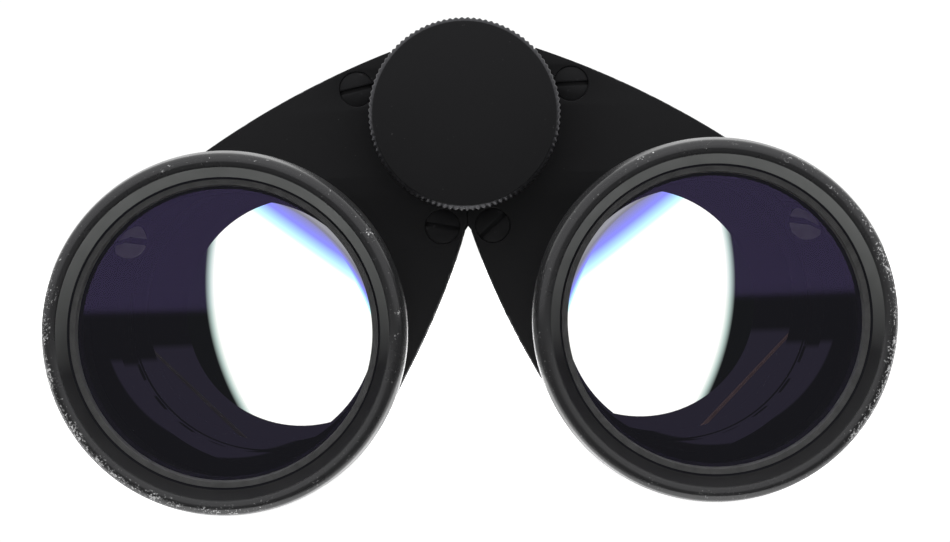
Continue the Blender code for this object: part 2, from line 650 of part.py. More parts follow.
hinge_place = (0.0, FRONT_Y, HINGE_Z)
fold_pivot = pivot("fold_pivot", hinge_place)
focus_pivot = pivot("focus_pivot", hinge_place)
halves = {"left": None, "right": fold_pivot}

for side, sign in SIDES:
    half = halves[side]
    objective_barrel(side, sign, half)
    objective_lens(side, sign, half)
    front_plate(side, sign, half)
    plate_screws(side, sign, half)
    housing(side, sign, half)
    leather_cover(side, sign, half)
    rear_plate(side, sign, half)
    prism_mount(side, sign, half)
    prisms(side, sign, half)
    focus_carrier(side, sign, half)
    eyepiece(side, sign, half, half)
    eyecup(side, sign, half)
    strap_lug(side, sign, half)

collar("left_eyepiece_collar", 1.0, None)
collar("right_dioptre_ring", -1.0, fold_pivot)
focus_wheel(focus_pivot)
drive_nut(None)
hinge_pin(None)
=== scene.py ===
"""The finished look of the binoculars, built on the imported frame.

X runs across the barrels, Y from the objectives to the eyepieces, Z up; metres.
"""
import math

import bpy
import bmesh
from mathutils import Matrix, Vector, noise as mathutils_noise


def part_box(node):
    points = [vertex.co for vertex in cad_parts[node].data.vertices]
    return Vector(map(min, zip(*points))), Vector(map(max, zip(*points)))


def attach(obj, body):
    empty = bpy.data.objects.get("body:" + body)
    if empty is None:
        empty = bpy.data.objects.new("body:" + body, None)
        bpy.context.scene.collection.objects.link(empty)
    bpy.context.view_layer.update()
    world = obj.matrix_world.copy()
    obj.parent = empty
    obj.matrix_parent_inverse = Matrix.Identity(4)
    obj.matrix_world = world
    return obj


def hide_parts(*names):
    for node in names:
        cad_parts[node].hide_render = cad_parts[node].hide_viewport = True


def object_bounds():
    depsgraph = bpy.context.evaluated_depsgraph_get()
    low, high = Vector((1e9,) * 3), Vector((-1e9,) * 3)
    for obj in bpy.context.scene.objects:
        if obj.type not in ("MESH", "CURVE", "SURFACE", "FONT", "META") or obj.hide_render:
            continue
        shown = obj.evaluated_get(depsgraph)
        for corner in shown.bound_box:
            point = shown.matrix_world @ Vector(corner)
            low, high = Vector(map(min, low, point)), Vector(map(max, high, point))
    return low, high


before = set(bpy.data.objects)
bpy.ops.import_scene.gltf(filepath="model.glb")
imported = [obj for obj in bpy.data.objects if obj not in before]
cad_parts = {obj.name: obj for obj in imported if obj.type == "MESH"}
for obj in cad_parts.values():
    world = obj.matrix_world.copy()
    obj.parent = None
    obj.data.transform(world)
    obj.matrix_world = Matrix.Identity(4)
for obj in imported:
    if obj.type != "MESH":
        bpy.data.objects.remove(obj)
cad_box = [list(corner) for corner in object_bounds()]


# ---------------------------------------------------------------- studio
# A pale table on a white background, one broad soft light overhead, a weak one
# beside the camera, and the glow that the table sends up from in front.  The room
# ahead of the glass is dim, so black enamel stays black and the lenses stay dark.

def link(item):
    bpy.context.scene.collection.objects.link(item)
    return item


def mesh_from(name, shape):
    mesh = bpy.data.meshes.new(name)
    shape.to_mesh(mesh)
    shape.free()
    return mesh


def soft_light(name, place, target, size, watts):
    light = bpy.data.lights.new(name, 'AREA')
    light.shape = 'RECTANGLE'
    light.size, light.size_y = size
    light.energy = watts
    item = link(bpy.data.objects.new(name, light))
    item.location = place
    item.rotation_euler = (Vector(target) - Vector(place)).to_track_quat('-Z', 'Y').to_euler()
    item.visible_glossy = False
    item.visible_camera = False
    item.visible_transmission = False


TABLE_HALF = 1.5
TABLE_FRONT = -0.0615
TABLE_GAP = 0.0002


def table_top():
    shape = bmesh.new()
    bmesh.ops.create_grid(shape, x_segments=1, y_segments=1, size=TABLE_HALF)
    mesh = mesh_from("table_top", shape)
    item = link(bpy.data.objects.new("table_top", mesh))
    item.location = (0.0, TABLE_HALF + TABLE_FRONT, -TABLE_GAP)
    paint = bpy.data.materials.new("table_white")
    paint.use_nodes = True
    shader = paint.node_tree.nodes["Principled BSDF"]
    shader.inputs["Base Color"].default_value = (0.9, 0.9, 0.9, 1.0)
    shader.inputs["Roughness"].default_value = 0.6
    shader.inputs["Specular IOR Level"].default_value = 0.2
    shader.inputs["Emission Color"].default_value = (1.0, 1.0, 1.0, 1.0)
    shader.inputs["Emission Strength"].default_value = 0.97
    mesh.materials.append(paint)


ROOM_DARK_TO, ROOM_BRIGHT_FROM = 0.507, 0.517


def room_light():
    """White to the eye; to the lights and reflections, bright above and dim in front."""
    world = bpy.data.worlds.new("studio_room")
    bpy.context.scene.world = world
    world.use_nodes = True
    nodes, links = world.node_tree.nodes, world.node_tree.links
    nodes.clear()
    out = nodes.new("ShaderNodeOutputWorld")
    mix = nodes.new("ShaderNodeMixShader")
    seen = nodes.new("ShaderNodeBackground")
    seen.inputs["Color"].default_value = (1.0, 1.0, 1.0, 1.0)
    seen.inputs["Strength"].default_value = 1.05
    room = nodes.new("ShaderNodeBackground")
    room.inputs["Strength"].default_value = 1.0
    path = nodes.new("ShaderNodeLightPath")
    where = nodes.new("ShaderNodeTexCoord")
    split = nodes.new("ShaderNodeSeparateXYZ")
    links.new(where.outputs["Generated"], split.inputs[0])
    height = nodes.new("ShaderNodeValToRGB")
    height.color_ramp.elements[0].position = ROOM_DARK_TO
    height.color_ramp.elements[0].color = (0.02, 0.02, 0.022, 1.0)
    height.color_ramp.elements[1].position = ROOM_BRIGHT_FROM
    height.color_ramp.elements[1].color = (0.9, 0.9, 0.92, 1.0)
    lift = nodes.new("ShaderNodeMath")
    lift.operation = 'MULTIPLY_ADD'
    lift.inputs[1].default_value = 0.5
    lift.inputs[2].default_value = 0.5
    links.new(split.outputs["Z"], lift.inputs[0])
    links.new(lift.outputs[0], height.inputs["Fac"])
    behind = nodes.new("ShaderNodeMapRange")
    behind.inputs["From Min"].default_value = -0.1
    behind.inputs["From Max"].default_value = 0.4
    links.new(split.outputs["Y"], behind.inputs["Value"])
    blend = nodes.new("ShaderNodeMix")
    blend.data_type = 'RGBA'
    blend.inputs["B"].default_value = (1.0, 1.0, 1.0, 1.0)
    links.new(behind.outputs[0], blend.inputs["Factor"])
    links.new(height.outputs["Color"], blend.inputs["A"])
    links.new(blend.outputs["Result"], room.inputs["Color"])
    links.new(path.outputs["Is Camera Ray"], mix.inputs["Fac"])
    links.new(room.outputs[0], mix.inputs[1])
    links.new(seen.outputs[0], mix.inputs[2])
    links.new(mix.outputs[0], out.inputs["Surface"])


RIM_TO_EYE = 0.300
EYE_LENS = 103.6
EYE = Vector((0.0005, cad_box[0][1] - RIM_TO_EYE, 0.03045))
EYE_AIM = Vector((0.000734, 1.0, -0.0132))
EYE_ROLL = math.radians(1.58)


def view_camera():
    camera = link(bpy.data.objects.new("view_camera", bpy.data.cameras.new("view_camera")))
    camera.data.sensor_width = 36.0
    camera.data.lens = EYE_LENS
    camera.data.clip_start = 0.01
    camera.location = EYE
    level = EYE_AIM.to_track_quat('-Z', 'Y').to_matrix().to_4x4()
    camera.rotation_euler = (level @ Matrix.Rotation(-EYE_ROLL, 4, 'Z')).to_euler()
    bpy.context.scene.camera = camera


bpy.context.scene.view_settings.view_transform = 'Standard'
view_camera()
room_light()
table_top()
soft_light("overhead_light", (0.0, -0.05, 0.9), (0.0, 0.0, 0.02), (1.4, 1.0), 22.0)
soft_light("table_bounce", (0.0, -0.17, 0.002), (0.0, -0.045, 0.04), (0.3, 0.12), 0.2)
soft_light("front_light", (-0.7, -1.0, 0.5), (0.0, -0.03, 0.02), (0.5, 0.5), 3.0)


# ---------------------------------------------------------------- objective barrels
# Each is turned from aluminium tube with a belled, rolled front rim, and stoved
# in gloss black enamel.  Handling has worn the rim: pale chips sit on its edge.

MM = 0.001
SIDES = ("left", "right")
HALF_BODY = {"left": "left_half", "right": "right_half"}


def barrel_axis(side):
    low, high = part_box(side + "_objective_barrel")
    return Vector(((low.x + high.x) / 2.0, low.y, (low.z + high.z) / 2.0))


def smoothed(name, shape, sharp):
    """A smooth piece whose edges stay crisp where they turn by more than sharp degrees."""
    bmesh.ops.recalc_face_normals(shape, faces=shape.faces)
    mesh = mesh_from(name, shape)
    mesh.shade_smooth()
    mesh.set_sharp_from_angle(angle=math.radians(sharp))
    return link(bpy.data.objects.new(name, mesh))


def fitted(piece, node, body, slot, *finishes):
    """Finish a piece and fix it to its body; node is the CAD solid that it stands for."""
    for finish in finishes:
        piece.data.materials.append(finish)
    if node is not None:
        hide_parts(node)
    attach(piece, body)


def turned_piece(name, profile, axis, steps=128, closed=True, sharp=35.0):
    """Turn (radius, depth) points, in millimetres, about a line along Y through axis."""
    shape = bmesh.new()
    rings = []
    for radius, depth in profile:
        y = axis.y + depth * MM
        if radius < 1e-6:
            rings.append([shape.verts.new((axis.x, y, axis.z))])
            continue
        ring = []
        for i in range(steps):
            turn = 2.0 * math.pi * i / steps
            ring.append(shape.verts.new((axis.x + radius * MM * math.cos(turn), y,
                                         axis.z + radius * MM * math.sin(turn))))
        rings.append(ring)
    pairs = list(zip(rings, rings[1:]))
    if closed:
        pairs.append((rings[-1], rings[0]))
    for first, second in pairs:
        for i in range(steps):
            j = (i + 1) % steps
            corners = [first[i % len(first)], first[j % len(first)],
                       second[j % len(second)], second[i % len(second)]]
            corners = list(dict.fromkeys(corners))
            if len(corners) > 2:
                shape.faces.new(corners)
    return smoothed(name, shape, sharp)


def rounded(points, radius, steps=4):
    """Round the corners of a closed (radius, depth) outline; radius may differ by point."""
    result = []
    count = len(points)
    for i, point in enumerate(points):
        bend = radius[i] if isinstance(radius, (list, tuple)) else radius
        here = Vector(point)
        to_last = Vector(points[i - 1]) - here
        to_next = Vector(points[(i + 1) % count]) - here
        reach = min(bend, to_last.length * 0.45, to_next.length * 0.45)
        if reach < 1e-4:
            result.append(tuple(here))
            continue
        start = here + to_last.normalized() * reach
        end = here + to_next.normalized() * reach
        for step in range(steps + 1):
            t = step / steps
            spot = start * (1 - t) ** 2 + here * 2 * t * (1 - t) + end * t ** 2
            result.append((spot.x, spot.y))
    return result


class Paintbox:
    """One material under construction: makes nodes and joins them to its shader."""

    def __init__(self, name, colour, roughness, metallic=0.0):
        self.material = bpy.data.materials.new(name)
        self.material.use_nodes = True
        self.tree = self.material.node_tree
        self.shader = self.tree.nodes["Principled BSDF"]
        self.set("Base Color", (*colour, 1.0))
        self.set("Roughness", roughness)
        self.set("Metallic", metallic)
        self.where = self.node("ShaderNodeTexCoord").outputs["Object"]

    def set(self, socket, value):
        self.shader.inputs[socket].default_value = value

    def node(self, kind, **settings):
        node = self.tree.nodes.new(kind)
        for key, value in settings.items():
            setattr(node, key, value)
        return node

    def join(self, source, target):
        self.tree.links.new(source, target)

    def feed(self, socket, source):
        self.join(source, self.shader.inputs[socket])

    def noise(self, scale, detail=4.0, rough=0.55, stretch=None):
        node = self.node("ShaderNodeTexNoise")
        node.inputs["Scale"].default_value = scale
        node.inputs["Detail"].default_value = detail
        node.inputs["Roughness"].default_value = rough
        self.join(self.stretched(stretch), node.inputs["Vector"])
        return node.outputs["Fac"]

    def grain(self, scale):
        node = self.node("ShaderNodeTexVoronoi")
        node.inputs["Scale"].default_value = scale
        self.join(self.where, node.inputs["Vector"])
        return node.outputs["Distance"]

    def stretched(self, stretch):
        if stretch is None:
            return self.where
        mapping = self.node("ShaderNodeMapping")
        mapping.inputs["Scale"].default_value = stretch
        self.join(self.where, mapping.inputs["Vector"])
        return mapping.outputs[0]

    def between(self, source, low, high, to_low=0.0, to_high=1.0):
        node = self.node("ShaderNodeMapRange")
        node.inputs["From Min"].default_value = low
        node.inputs["From Max"].default_value = high
        node.inputs["To Min"].default_value = to_low
        node.inputs["To Max"].default_value = to_high
        self.join(source, node.inputs["Value"])
        return node.outputs[0]

    def maths(self, operation, first, second):
        node = self.node("ShaderNodeMath", operation=operation)
        for socket, value in zip(node.inputs, (first, second)):
            if isinstance(value, (int, float)):
                socket.default_value = value
            else:
                self.join(value, socket)
        return node.outputs[0]

    def blend(self, factor, first, second):
        """Mix two colours; each is a colour or another node's output."""
        node = self.node("ShaderNodeMix", data_type='RGBA')
        self.join(factor, node.inputs["Factor"])
        for name, value in (("A", first), ("B", second)):
            if isinstance(value, tuple):
                node.inputs[name].default_value = (*value, 1.0)
            else:
                self.join(value, node.inputs[name])
        return node.outputs["Result"]

    def bump(self, height, distance, strength=1.0, after=None):
        node = self.node("ShaderNodeBump")
        node.inputs["Distance"].default_value = distance
        node.inputs["Strength"].default_value = strength
        self.join(height, node.inputs["Height"])
        if after is not None:
            self.join(after, node.inputs["Normal"])
        return node.outputs["Normal"]

    def colour(self, pattern, first, second):
        self.feed("Base Color", self.blend(pattern, first, second))

    def shine(self, pattern, low, high):
        """Roughness that follows the middle part of a pattern, from low to high."""
        self.feed("Roughness", self.between(pattern, 0.3, 0.7, low, high))

    def relief(self, height, distance, strength, after=None):
        self.feed("Normal", self.bump(height, distance, strength, after))

    def off_axis(self, axis):
        """Distance in metres from a line along Y through axis."""
        flat = self.node("ShaderNodeVectorMath", operation='MULTIPLY_ADD')
        flat.inputs[1].default_value = (1.0, 0.0, 1.0)
        flat.inputs[2].default_value = (-axis.x, 0.0, -axis.z)
        self.join(self.where, flat.inputs[0])
        length = self.node("ShaderNodeVectorMath", operation='LENGTH')
        self.join(flat.outputs[0], length.inputs[0])
        return length.outputs["Value"]

    def along(self, axis_name):
        split = self.node("ShaderNodeSeparateXYZ")
        self.join(self.where, split.inputs[0])
        return split.outputs[axis_name]


WEAR_FROM, WEAR_FULL = 0.0184, 0.0194


def worn_enamel(name, axis, wear_way):
    """Gloss black enamel with pinhole wear where the rim is widest."""
    paint = Paintbox(name, (0.014, 0.014, 0.0145), 0.26)
    paint.set("Specular IOR Level", 0.4)
    paint.set("Coat Weight", 0.15)
    paint.set("Coat Roughness", 0.12)
    radius = paint.off_axis(axis)
    edge = paint.between(radius, WEAR_FROM, WEAR_FULL)
    front = paint.between(paint.along("Y"), axis.y + 0.0035, axis.y + 0.0006)
    reach_x, reach_z = wear_way
    across = paint.maths('MULTIPLY', paint.maths('SUBTRACT', paint.along("X"), axis.x), reach_x)
    upward = paint.maths('MULTIPLY', paint.maths('SUBTRACT', paint.along("Z"), axis.z), reach_z)
    outer = paint.between(paint.maths('ADD', across, upward), 0.004, 0.0175)
    zone = paint.maths('MULTIPLY', paint.maths('MULTIPLY', edge, front), outer)
    specks = paint.noise(3400.0, 3.0, 0.7)
    patches = paint.noise(330.0, 3.0, 0.6)
    level = paint.maths('ADD', specks, paint.maths('MULTIPLY', patches, 0.55))
    level = paint.maths('ADD', level, paint.maths('MULTIPLY', zone, 0.13))
    chips = paint.between(level, 0.955, 1.04)
    chips = paint.maths('MULTIPLY', chips, paint.maths('MULTIPLY', edge, front))
    paint.colour(chips, (0.014, 0.014, 0.0145), (0.38, 0.38, 0.38))
    haze = paint.noise(90.0, 5.0, 0.6)
    gloss = paint.between(haze, 0.3, 0.7, 0.22, 0.33)
    gloss = paint.maths('ADD', gloss, paint.maths('MULTIPLY', chips, 0.4))
    paint.feed("Roughness", gloss)
    skin = paint.bump(paint.noise(700.0, 2.0), 0.00001, 0.25)
    paint.relief(paint.maths('SUBTRACT', 0.0, chips), 0.00004, 0.6, skin)
    return paint.material


def painted_highlight_chamfer(name, axis):
    """The satin chamfer inside the rim: black below, with a painted highlight on its upper side
    where the overhead light falls; noise varies the grey and the shine.
    """
    paint = Paintbox(name, (0.05, 0.05, 0.052), 0.38, 0.1)
    rub = paint.noise(420.0, 3.0)
    # Painted highlight: the colour runs from black low down to grey high up, as if lit from above.
    upper = paint.between(paint.along("Z"), axis.z - 0.004, axis.z + 0.013)
    high = paint.blend(rub, (0.14, 0.145, 0.14), (0.2, 0.205, 0.2))
    paint.colour(upper, (0.009, 0.009, 0.009), high)
    paint.shine(rub, 0.3, 0.46)
    paint.relief(rub, 0.00002, 0.3)
    return paint.material


PAINTED_STRAY_LIGHT = (0.0085, 0.0085, 0.0105)


def matt_black(name, level=0.006):
    """Anti-reflection black for bores and stops, under a faint painted glow that stands for stray
    light.
    """
    paint = Paintbox(name, (level, level, level), 0.75)
    paint.set("Specular IOR Level", 0.0)
    paint.set("Emission Color", (*PAINTED_STRAY_LIGHT, 1.0))
    paint.set("Emission Strength", 1.0)
    dust = paint.noise(900.0, 3.0)
    paint.colour(dust, (level * 0.7,) * 3, (level * 1.5,) * 3)
    return paint.material


RIM_OUTSIDE = [(17.1, 41.5), (17.1, 37.2), (18.2, 37.2), (18.2, 13.0), (19.2, 10.2),
               (20.3, 7.4), (20.3, 3.2), (19.9, 0.55), (19.15, 0.0), (18.5, 0.12)]
RIM_CHAMFER = [(18.3, 0.35), (17.35, 2.0)]
RIM_BORE = [(17.3, 2.1), (17.3, 11.3), (16.0, 11.3), (16.0, 41.5)]
OUTSIDE_BENDS = [0.1, 0.3, 0.15, 6.0, 3.0, 4.0, 4.0, 1.6, 0.8, 0.3]

BORE_EDGE, CHAMFER_EDGE = 17.32, 18.34
WEAR_WAY = {"left": (0.99, 0.05), "right": (-0.78, -0.62)}
BORE_BLACK = matt_black("bore_black")


def objective_barrel(side):
    axis = barrel_axis(side)
    bends = OUTSIDE_BENDS + [0.12, 0.12, 0.05, 0.1, 0.1, 0.1]
    profile = rounded(RIM_OUTSIDE + RIM_CHAMFER + RIM_BORE, bends, 6)
    barrel = turned_piece(side + "_barrel_shell", profile, axis, 160)
    fitted(barrel, side + "_objective_barrel", HALF_BODY[side], "gloss_enamel",
           worn_enamel(side + "_rim_enamel", axis, WEAR_WAY[side]),
           painted_highlight_chamfer(side + "_chamfer_painted_highlight", axis), BORE_BLACK)
    for face in barrel.data.polygons:
        middle = face.center - axis
        reach = math.hypot(middle.x, middle.z) / MM
        if reach < BORE_EDGE:
            face.material_index = 2
        elif reach < CHAMFER_EDGE and middle.y < 3.0 * MM:
            face.material_index = 1


for side in SIDES:
    objective_barrel(side)


# ---------------------------------------------------------------- objective lenses
# A bulged crown glass, violet from its anti-reflection coating, sits against a
# shoulder in the barrel.  A thin threaded ring holds it from in front.

FRONT_CURVE, BACK_CURVE = 110.0, 145.0
LENS_FRONT, LENS_BACK = 2.5, 11.86
LENS_RADIUS = 17.0


def coated_glass(name, tint, mirror, bend=1.517):
    """Clear glass; tint and mirror are the colour and strength of its coating's shine."""
    paint = Paintbox(name, (1.0, 1.0, 1.0), 0.0)
    paint.set("Transmission Weight", 1.0)
    paint.set("IOR", bend)
    paint.set("Specular Tint", (*tint, 1.0))
    paint.set("Specular IOR Level", mirror)
    return paint.material


def threaded_black(name):
    """Blackened metal with the fine lines that a cutting tool leaves."""
    paint = Paintbox(name, (0.02, 0.02, 0.02), 0.5)
    rub = paint.noise(800.0, 4.0)
    paint.colour(rub, (0.02, 0.02, 0.02), (0.07, 0.07, 0.07))
    paint.relief(rub, 0.00003, 0.5)
    return paint.material


VIOLET_COAT = coated_glass("violet_coated_glass", (0.50, 0.36, 1.0), 0.27)
INNER_COAT = coated_glass("clear_coated_glass", (0.0, 0.0, 0.0), 0.5)
RING_BLACK = threaded_black("retaining_ring_black")


def lens_face(radius, steps, vertex, curve):
    reach = [radius * i / steps for i in range(steps + 1)]
    return [(r, vertex + r * r / (2.0 * curve)) for r in reach]


def objective_lens(side):
    axis = barrel_axis(side)
    front = lens_face(LENS_RADIUS - 0.15, 20, LENS_FRONT, FRONT_CURVE)
    back = lens_face(LENS_RADIUS - 1.2, 20, LENS_BACK, -BACK_CURVE)
    edge = [(LENS_RADIUS, 5.0), (LENS_RADIUS, 10.85), (LENS_RADIUS - 0.15, 11.0)]
    lens = turned_piece(side + "_front_lens", front + edge + back[::-1], axis, 128,
                        closed=False)
    fitted(lens, side + "_objective_lens", HALF_BODY[side], "lens_glass", VIOLET_COAT, INNER_COAT)
    for face in lens.data.polygons:
        if face.center.y > axis.y + 10.0 * MM:
            face.material_index = 1


def lens_ring(side):
    axis = barrel_axis(side)
    thread = [(16.98, 4.25), (17.1, 4.1), (17.1, 2.6)]
    for turn in range(5):
        depth = 2.45 - 0.02 * turn
        outer = 17.1 - 0.14 * turn
        thread += [(outer, depth), (outer - 0.05, depth - 0.07), (outer - 0.09, depth - 0.02)]
    ring = turned_piece(side + "_lens_ring_turned", thread + [(16.42, 2.5), (16.36, 4.25)], axis,
                        160, sharp=20.0)
    fitted(ring, side + "_lens_ring", HALF_BODY[side], "anodised", RING_BLACK)


for side in SIDES:
    objective_lens(side)
    lens_ring(side)


# ---------------------------------------------------------------- inside the barrels
# Behind the lens come the focusing cell on its guide rod, the prism mount with
# its opening and stop, and a glowing disc of painted light that stands for the
# light the prisms send forward.  The prisms split that light at one edge, so it
# turns cyan, then violet, then grey there.

STOP_DEPTH = 71.4
STOP_RADIUS = 8.67
STOP_DROP = 0.72
SPLIT_NORMAL = (0.600, 0.800)
SPLIT_REACH = 4.15
SHADE_CENTRE = (12.7, 2.08)
SHADE_RADIUS = 19.7
STOP_GLOW_DROP, MOUNT_GLOW_DROP, CELL_GLOW_DROP = 2.8, 3.5, 3.7
MOUNT_GLOW_RING, CELL_GLOW_RING = (3.1, 11.8), (3.0, 12.7)


def inward(side):
    """+1 or -1: the way along X from this barrel towards the hinge."""
    return -1.0 if side == "left" else 1.0


def at_depth(side, towards_hinge, up, depth):
    axis = barrel_axis(side)
    return Vector((axis.x + inward(side) * towards_hinge * MM, axis.y + depth * MM,
                   axis.z + up * MM))


def prism_light(side):
    """The bright field behind the stop, painted by place across its face."""
    paint = Paintbox(side + "_prism_light", (0.0, 0.0, 0.0), 1.0)
    axis = barrel_axis(side)
    paint.set("Specular IOR Level", 0.0)
    paint.set("Emission Strength", 1.15)
    split = paint.node("ShaderNodeSeparateXYZ")
    paint.join(paint.where, split.inputs[0])
    across = paint.maths('MULTIPLY', paint.maths('SUBTRACT', split.outputs["X"], axis.x),
                         inward(side) / MM)
    up = paint.maths('DIVIDE', paint.maths('SUBTRACT', split.outputs["Z"],
                                           axis.z - STOP_DROP * MM), MM)
    reach = paint.maths('ADD', paint.maths('MULTIPLY', across, SPLIT_NORMAL[0]),
                        paint.maths('MULTIPLY', up, SPLIT_NORMAL[1]))
    colours = paint.node("ShaderNodeValToRGB")
    stops = [(0.0, (1.0, 1.0, 1.0)), (0.08, (0.60, 1.0, 1.0)), (0.20, (0.40, 0.66, 1.0)),
             (0.34, (0.24, 0.25, 1.0)), (0.52, (0.24, 0.24, 0.50)), (0.70, (0.20, 0.20, 0.24)),
             (1.0, (0.30, 0.30, 0.34))]
    ramp = colours.color_ramp
    while len(ramp.elements) < len(stops):
        ramp.elements.new(0.5)
    for element, (place, colour) in zip(ramp.elements, stops):
        element.position = place
        element.color = (*colour, 1.0)
    paint.join(paint.between(reach, SPLIT_REACH - 0.15, SPLIT_REACH + 3.4), colours.inputs["Fac"])
    dx = paint.maths('SUBTRACT', across, SHADE_CENTRE[0])
    dz = paint.maths('SUBTRACT', up, SHADE_CENTRE[1])
    far = paint.maths('SQRT', paint.maths('ADD', paint.maths('MULTIPLY', dx, dx),
                                          paint.maths('MULTIPLY', dz, dz)), 0.0)
    shade = paint.node("ShaderNodeValToRGB")
    shade.color_ramp.elements[0].color = (1.0, 1.0, 1.0, 1.0)
    middle = shade.color_ramp.elements.new(0.5)
    middle.color = (0.45, 0.56, 0.54, 1.0)
    shade.color_ramp.elements[-1].color = (0.0075, 0.008, 0.009, 1.0)
    paint.join(paint.between(far, SHADE_RADIUS - 0.45, SHADE_RADIUS + 0.3), shade.inputs["Fac"])
    mix = paint.node("ShaderNodeMix", data_type='RGBA', blend_type='MULTIPLY')
    mix.inputs["Factor"].default_value = 1.0
    paint.join(colours.outputs["Color"], mix.inputs["A"])
    paint.join(shade.outputs["Color"], mix.inputs["B"])
    paint.feed("Emission Color", mix.outputs["Result"])
    return paint.material


def black_with_painted_glow(name, side, drop, ring=None):
    """Black above under a faint painted glow; from drop down, and within ring if it has one, a
    painted violet glow shows, as if lit by the light from the prisms.
    """
    paint = Paintbox(name, (0.004, 0.004, 0.004), 0.8)
    paint.set("Specular IOR Level", 0.0)
    axis = barrel_axis(side)
    glow_mask = paint.between(paint.along("Z"), axis.z - drop * MM, axis.z - (drop + 0.5) * MM)
    if ring is not None:
        aside, reach = ring
        centre = Vector((axis.x - inward(side) * aside * MM, axis.y, axis.z))
        inside = paint.between(paint.off_axis(centre), reach * MM, (reach - 0.15) * MM)
        glow_mask = paint.maths('MULTIPLY', glow_mask, inside)
    dust = paint.noise(700.0, 3.0)
    # Painted light: a violet glow where the prism light would fall on the inside, a faint
    # stray-light glow elsewhere.
    glow = paint.blend(glow_mask, PAINTED_STRAY_LIGHT, (0.0195, 0.0175, 0.0285))
    paint.colour(dust, (0.002, 0.002, 0.002), (0.005, 0.005, 0.006))
    paint.feed("Emission Color", glow)
    paint.set("Emission Strength", 1.0)
    return paint.material


def field_light(side):
    """A disc just behind the stop that glows with the painted prism light, and the stop itself: a
    black plate with a round hole.
    """
    centre = at_depth(side, 0.0, -STOP_DROP, 0.0)
    disc = [(0.0, STOP_DEPTH + 0.5), (STOP_RADIUS + 0.6, STOP_DEPTH + 0.5),
            (STOP_RADIUS + 0.6, STOP_DEPTH + 0.7), (0.0, STOP_DEPTH + 0.7)]
    light = turned_piece(side + "_painted_prism_glow", disc, centre, 96, closed=False)
    fitted(light, None, HALF_BODY[side], "prism_glass", prism_light(side))
    stop = turned_piece(side + "_field_stop", [
        (14.2, STOP_DEPTH), (14.2, STOP_DEPTH + 0.35), (STOP_RADIUS, STOP_DEPTH + 0.35),
        (STOP_RADIUS, STOP_DEPTH + 0.2), (STOP_RADIUS + 0.3, STOP_DEPTH)], centre, 96)
    fitted(stop, None, HALF_BODY[side], "inner_black",
           black_with_painted_glow(side + "_stop_black", side, STOP_GLOW_DROP))


def prism_mount(side):
    axis = barrel_axis(side)
    cup = rounded([(16.5, 90.4), (16.5, 56.6), (11.0, 56.6), (11.0, 58.4), (15.3, 58.4),
                   (15.3, 90.4)], 0.25, 3)
    mount = turned_piece(side + "_prism_cup", cup, axis, 96)
    fitted(mount, side + "_prism_mount", HALF_BODY[side], "inner_black",
           black_with_painted_glow(side + "_mount_black", side, MOUNT_GLOW_DROP, MOUNT_GLOW_RING))


def strap_metal_painted_glow(side):
    tint = (0.10, 0.07, 0.08) if side == "left" else (0.055, 0.05, 0.06)
    paint = Paintbox(side + "_strap_metal_painted_glow", tint, 0.8)
    paint.set("Specular IOR Level", 0.0)
    rub = paint.noise(700.0, 3.0)
    dull = tuple(c * 0.5 for c in tint)
    worn = paint.blend(rub, dull, tint)
    paint.feed("Base Color", worn)
    # Painted light: the strap glows with its own rubbed colour, so it shows as if lit inside the
    # dark barrel.
    paint.feed("Emission Color", worn)
    paint.set("Emission Strength", 0.45)
    return paint.material


def prism_strap(side):
    """The spring strap across the prism, seen on its narrow edge through the opening."""
    start = at_depth(side, -11.6, -2.2, 59.4)
    end = at_depth(side, -2.3, -11.6, 59.4)
    run = (end - start).normalized()
    side_way = run.cross(Vector((0.0, 1.0, 0.0))).normalized()
    shape = bmesh.new()
    bmesh.ops.create_cube(shape, size=1.0)
    span = (end - start).length
    for vert in shape.verts:
        taper = 1.0 + 0.5 * vert.co.x
        spot = (start + end) / 2.0 + run * vert.co.x * span
        spot += side_way * vert.co.y * 0.2 * MM * taper + Vector((0.0, vert.co.z * 2.0 * MM, 0.0))
        vert.co = spot
    bmesh.ops.recalc_face_normals(shape, faces=shape.faces)
    bmesh.ops.bevel(shape, geom=shape.edges[:], offset=0.04 * MM, segments=2, affect='EDGES')
    mesh = mesh_from(side + "_prism_strap", shape)
    strap = link(bpy.data.objects.new(side + "_prism_strap", mesh))
    fitted(strap, None, HALF_BODY[side], "steel", strap_metal_painted_glow(side))


def brushed(name, colour, roughness, metallic=1.0):
    """Bare or blackened metal, brushed across and a little uneven in its shine."""
    paint = Paintbox(name, colour, roughness, metallic)
    streaks = paint.noise(500.0, 4.0, 0.6, (1.0, 0.15, 1.0))
    deep = tuple(c * 0.6 for c in colour)
    bright = tuple(min(1.0, c * 1.35) for c in colour)
    paint.colour(streaks, deep, bright)
    paint.shine(streaks, roughness * 0.8, roughness * 1.25)
    paint.relief(streaks, 0.00001, 0.35)
    return paint.material


GUIDE_STEEL_PAINTED_GLOW = brushed("guide_rod_steel", (0.30, 0.29, 0.31), 0.5, 0.2)
GUIDE_SHADER = GUIDE_STEEL_PAINTED_GLOW.node_tree.nodes["Principled BSDF"]
# Painted light: a faint glow makes the guide head show as lit through the lens.
GUIDE_SHADER.inputs["Emission Color"].default_value = (1.0, 0.96, 1.0, 1.0)
GUIDE_SHADER.inputs["Emission Strength"].default_value = 0.012
PRISM_GLASS = coated_glass("prism_glass_clear", (1.0, 1.0, 1.0), 0.5)
FOCUS_GLASS = coated_glass("focus_lens_glass", (0.5, 0.6, 1.0), 0.2, 1.02)
CELL_BLACK = matt_black("focus_cell_black", 0.003)


def repaint(node, material):
    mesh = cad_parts[node].data
    mesh.materials.clear()
    mesh.materials.append(material)


def round_node(node, facing=0):
    """A round solid's centre and radius; facing -1 or 1 moves to its front or back face."""
    low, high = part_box(node)
    centre = (low + high) / 2.0
    if facing != 0:
        centre.y = low.y if facing < 0 else high.y
    return centre, (high.x - low.x) / 2.0 / MM


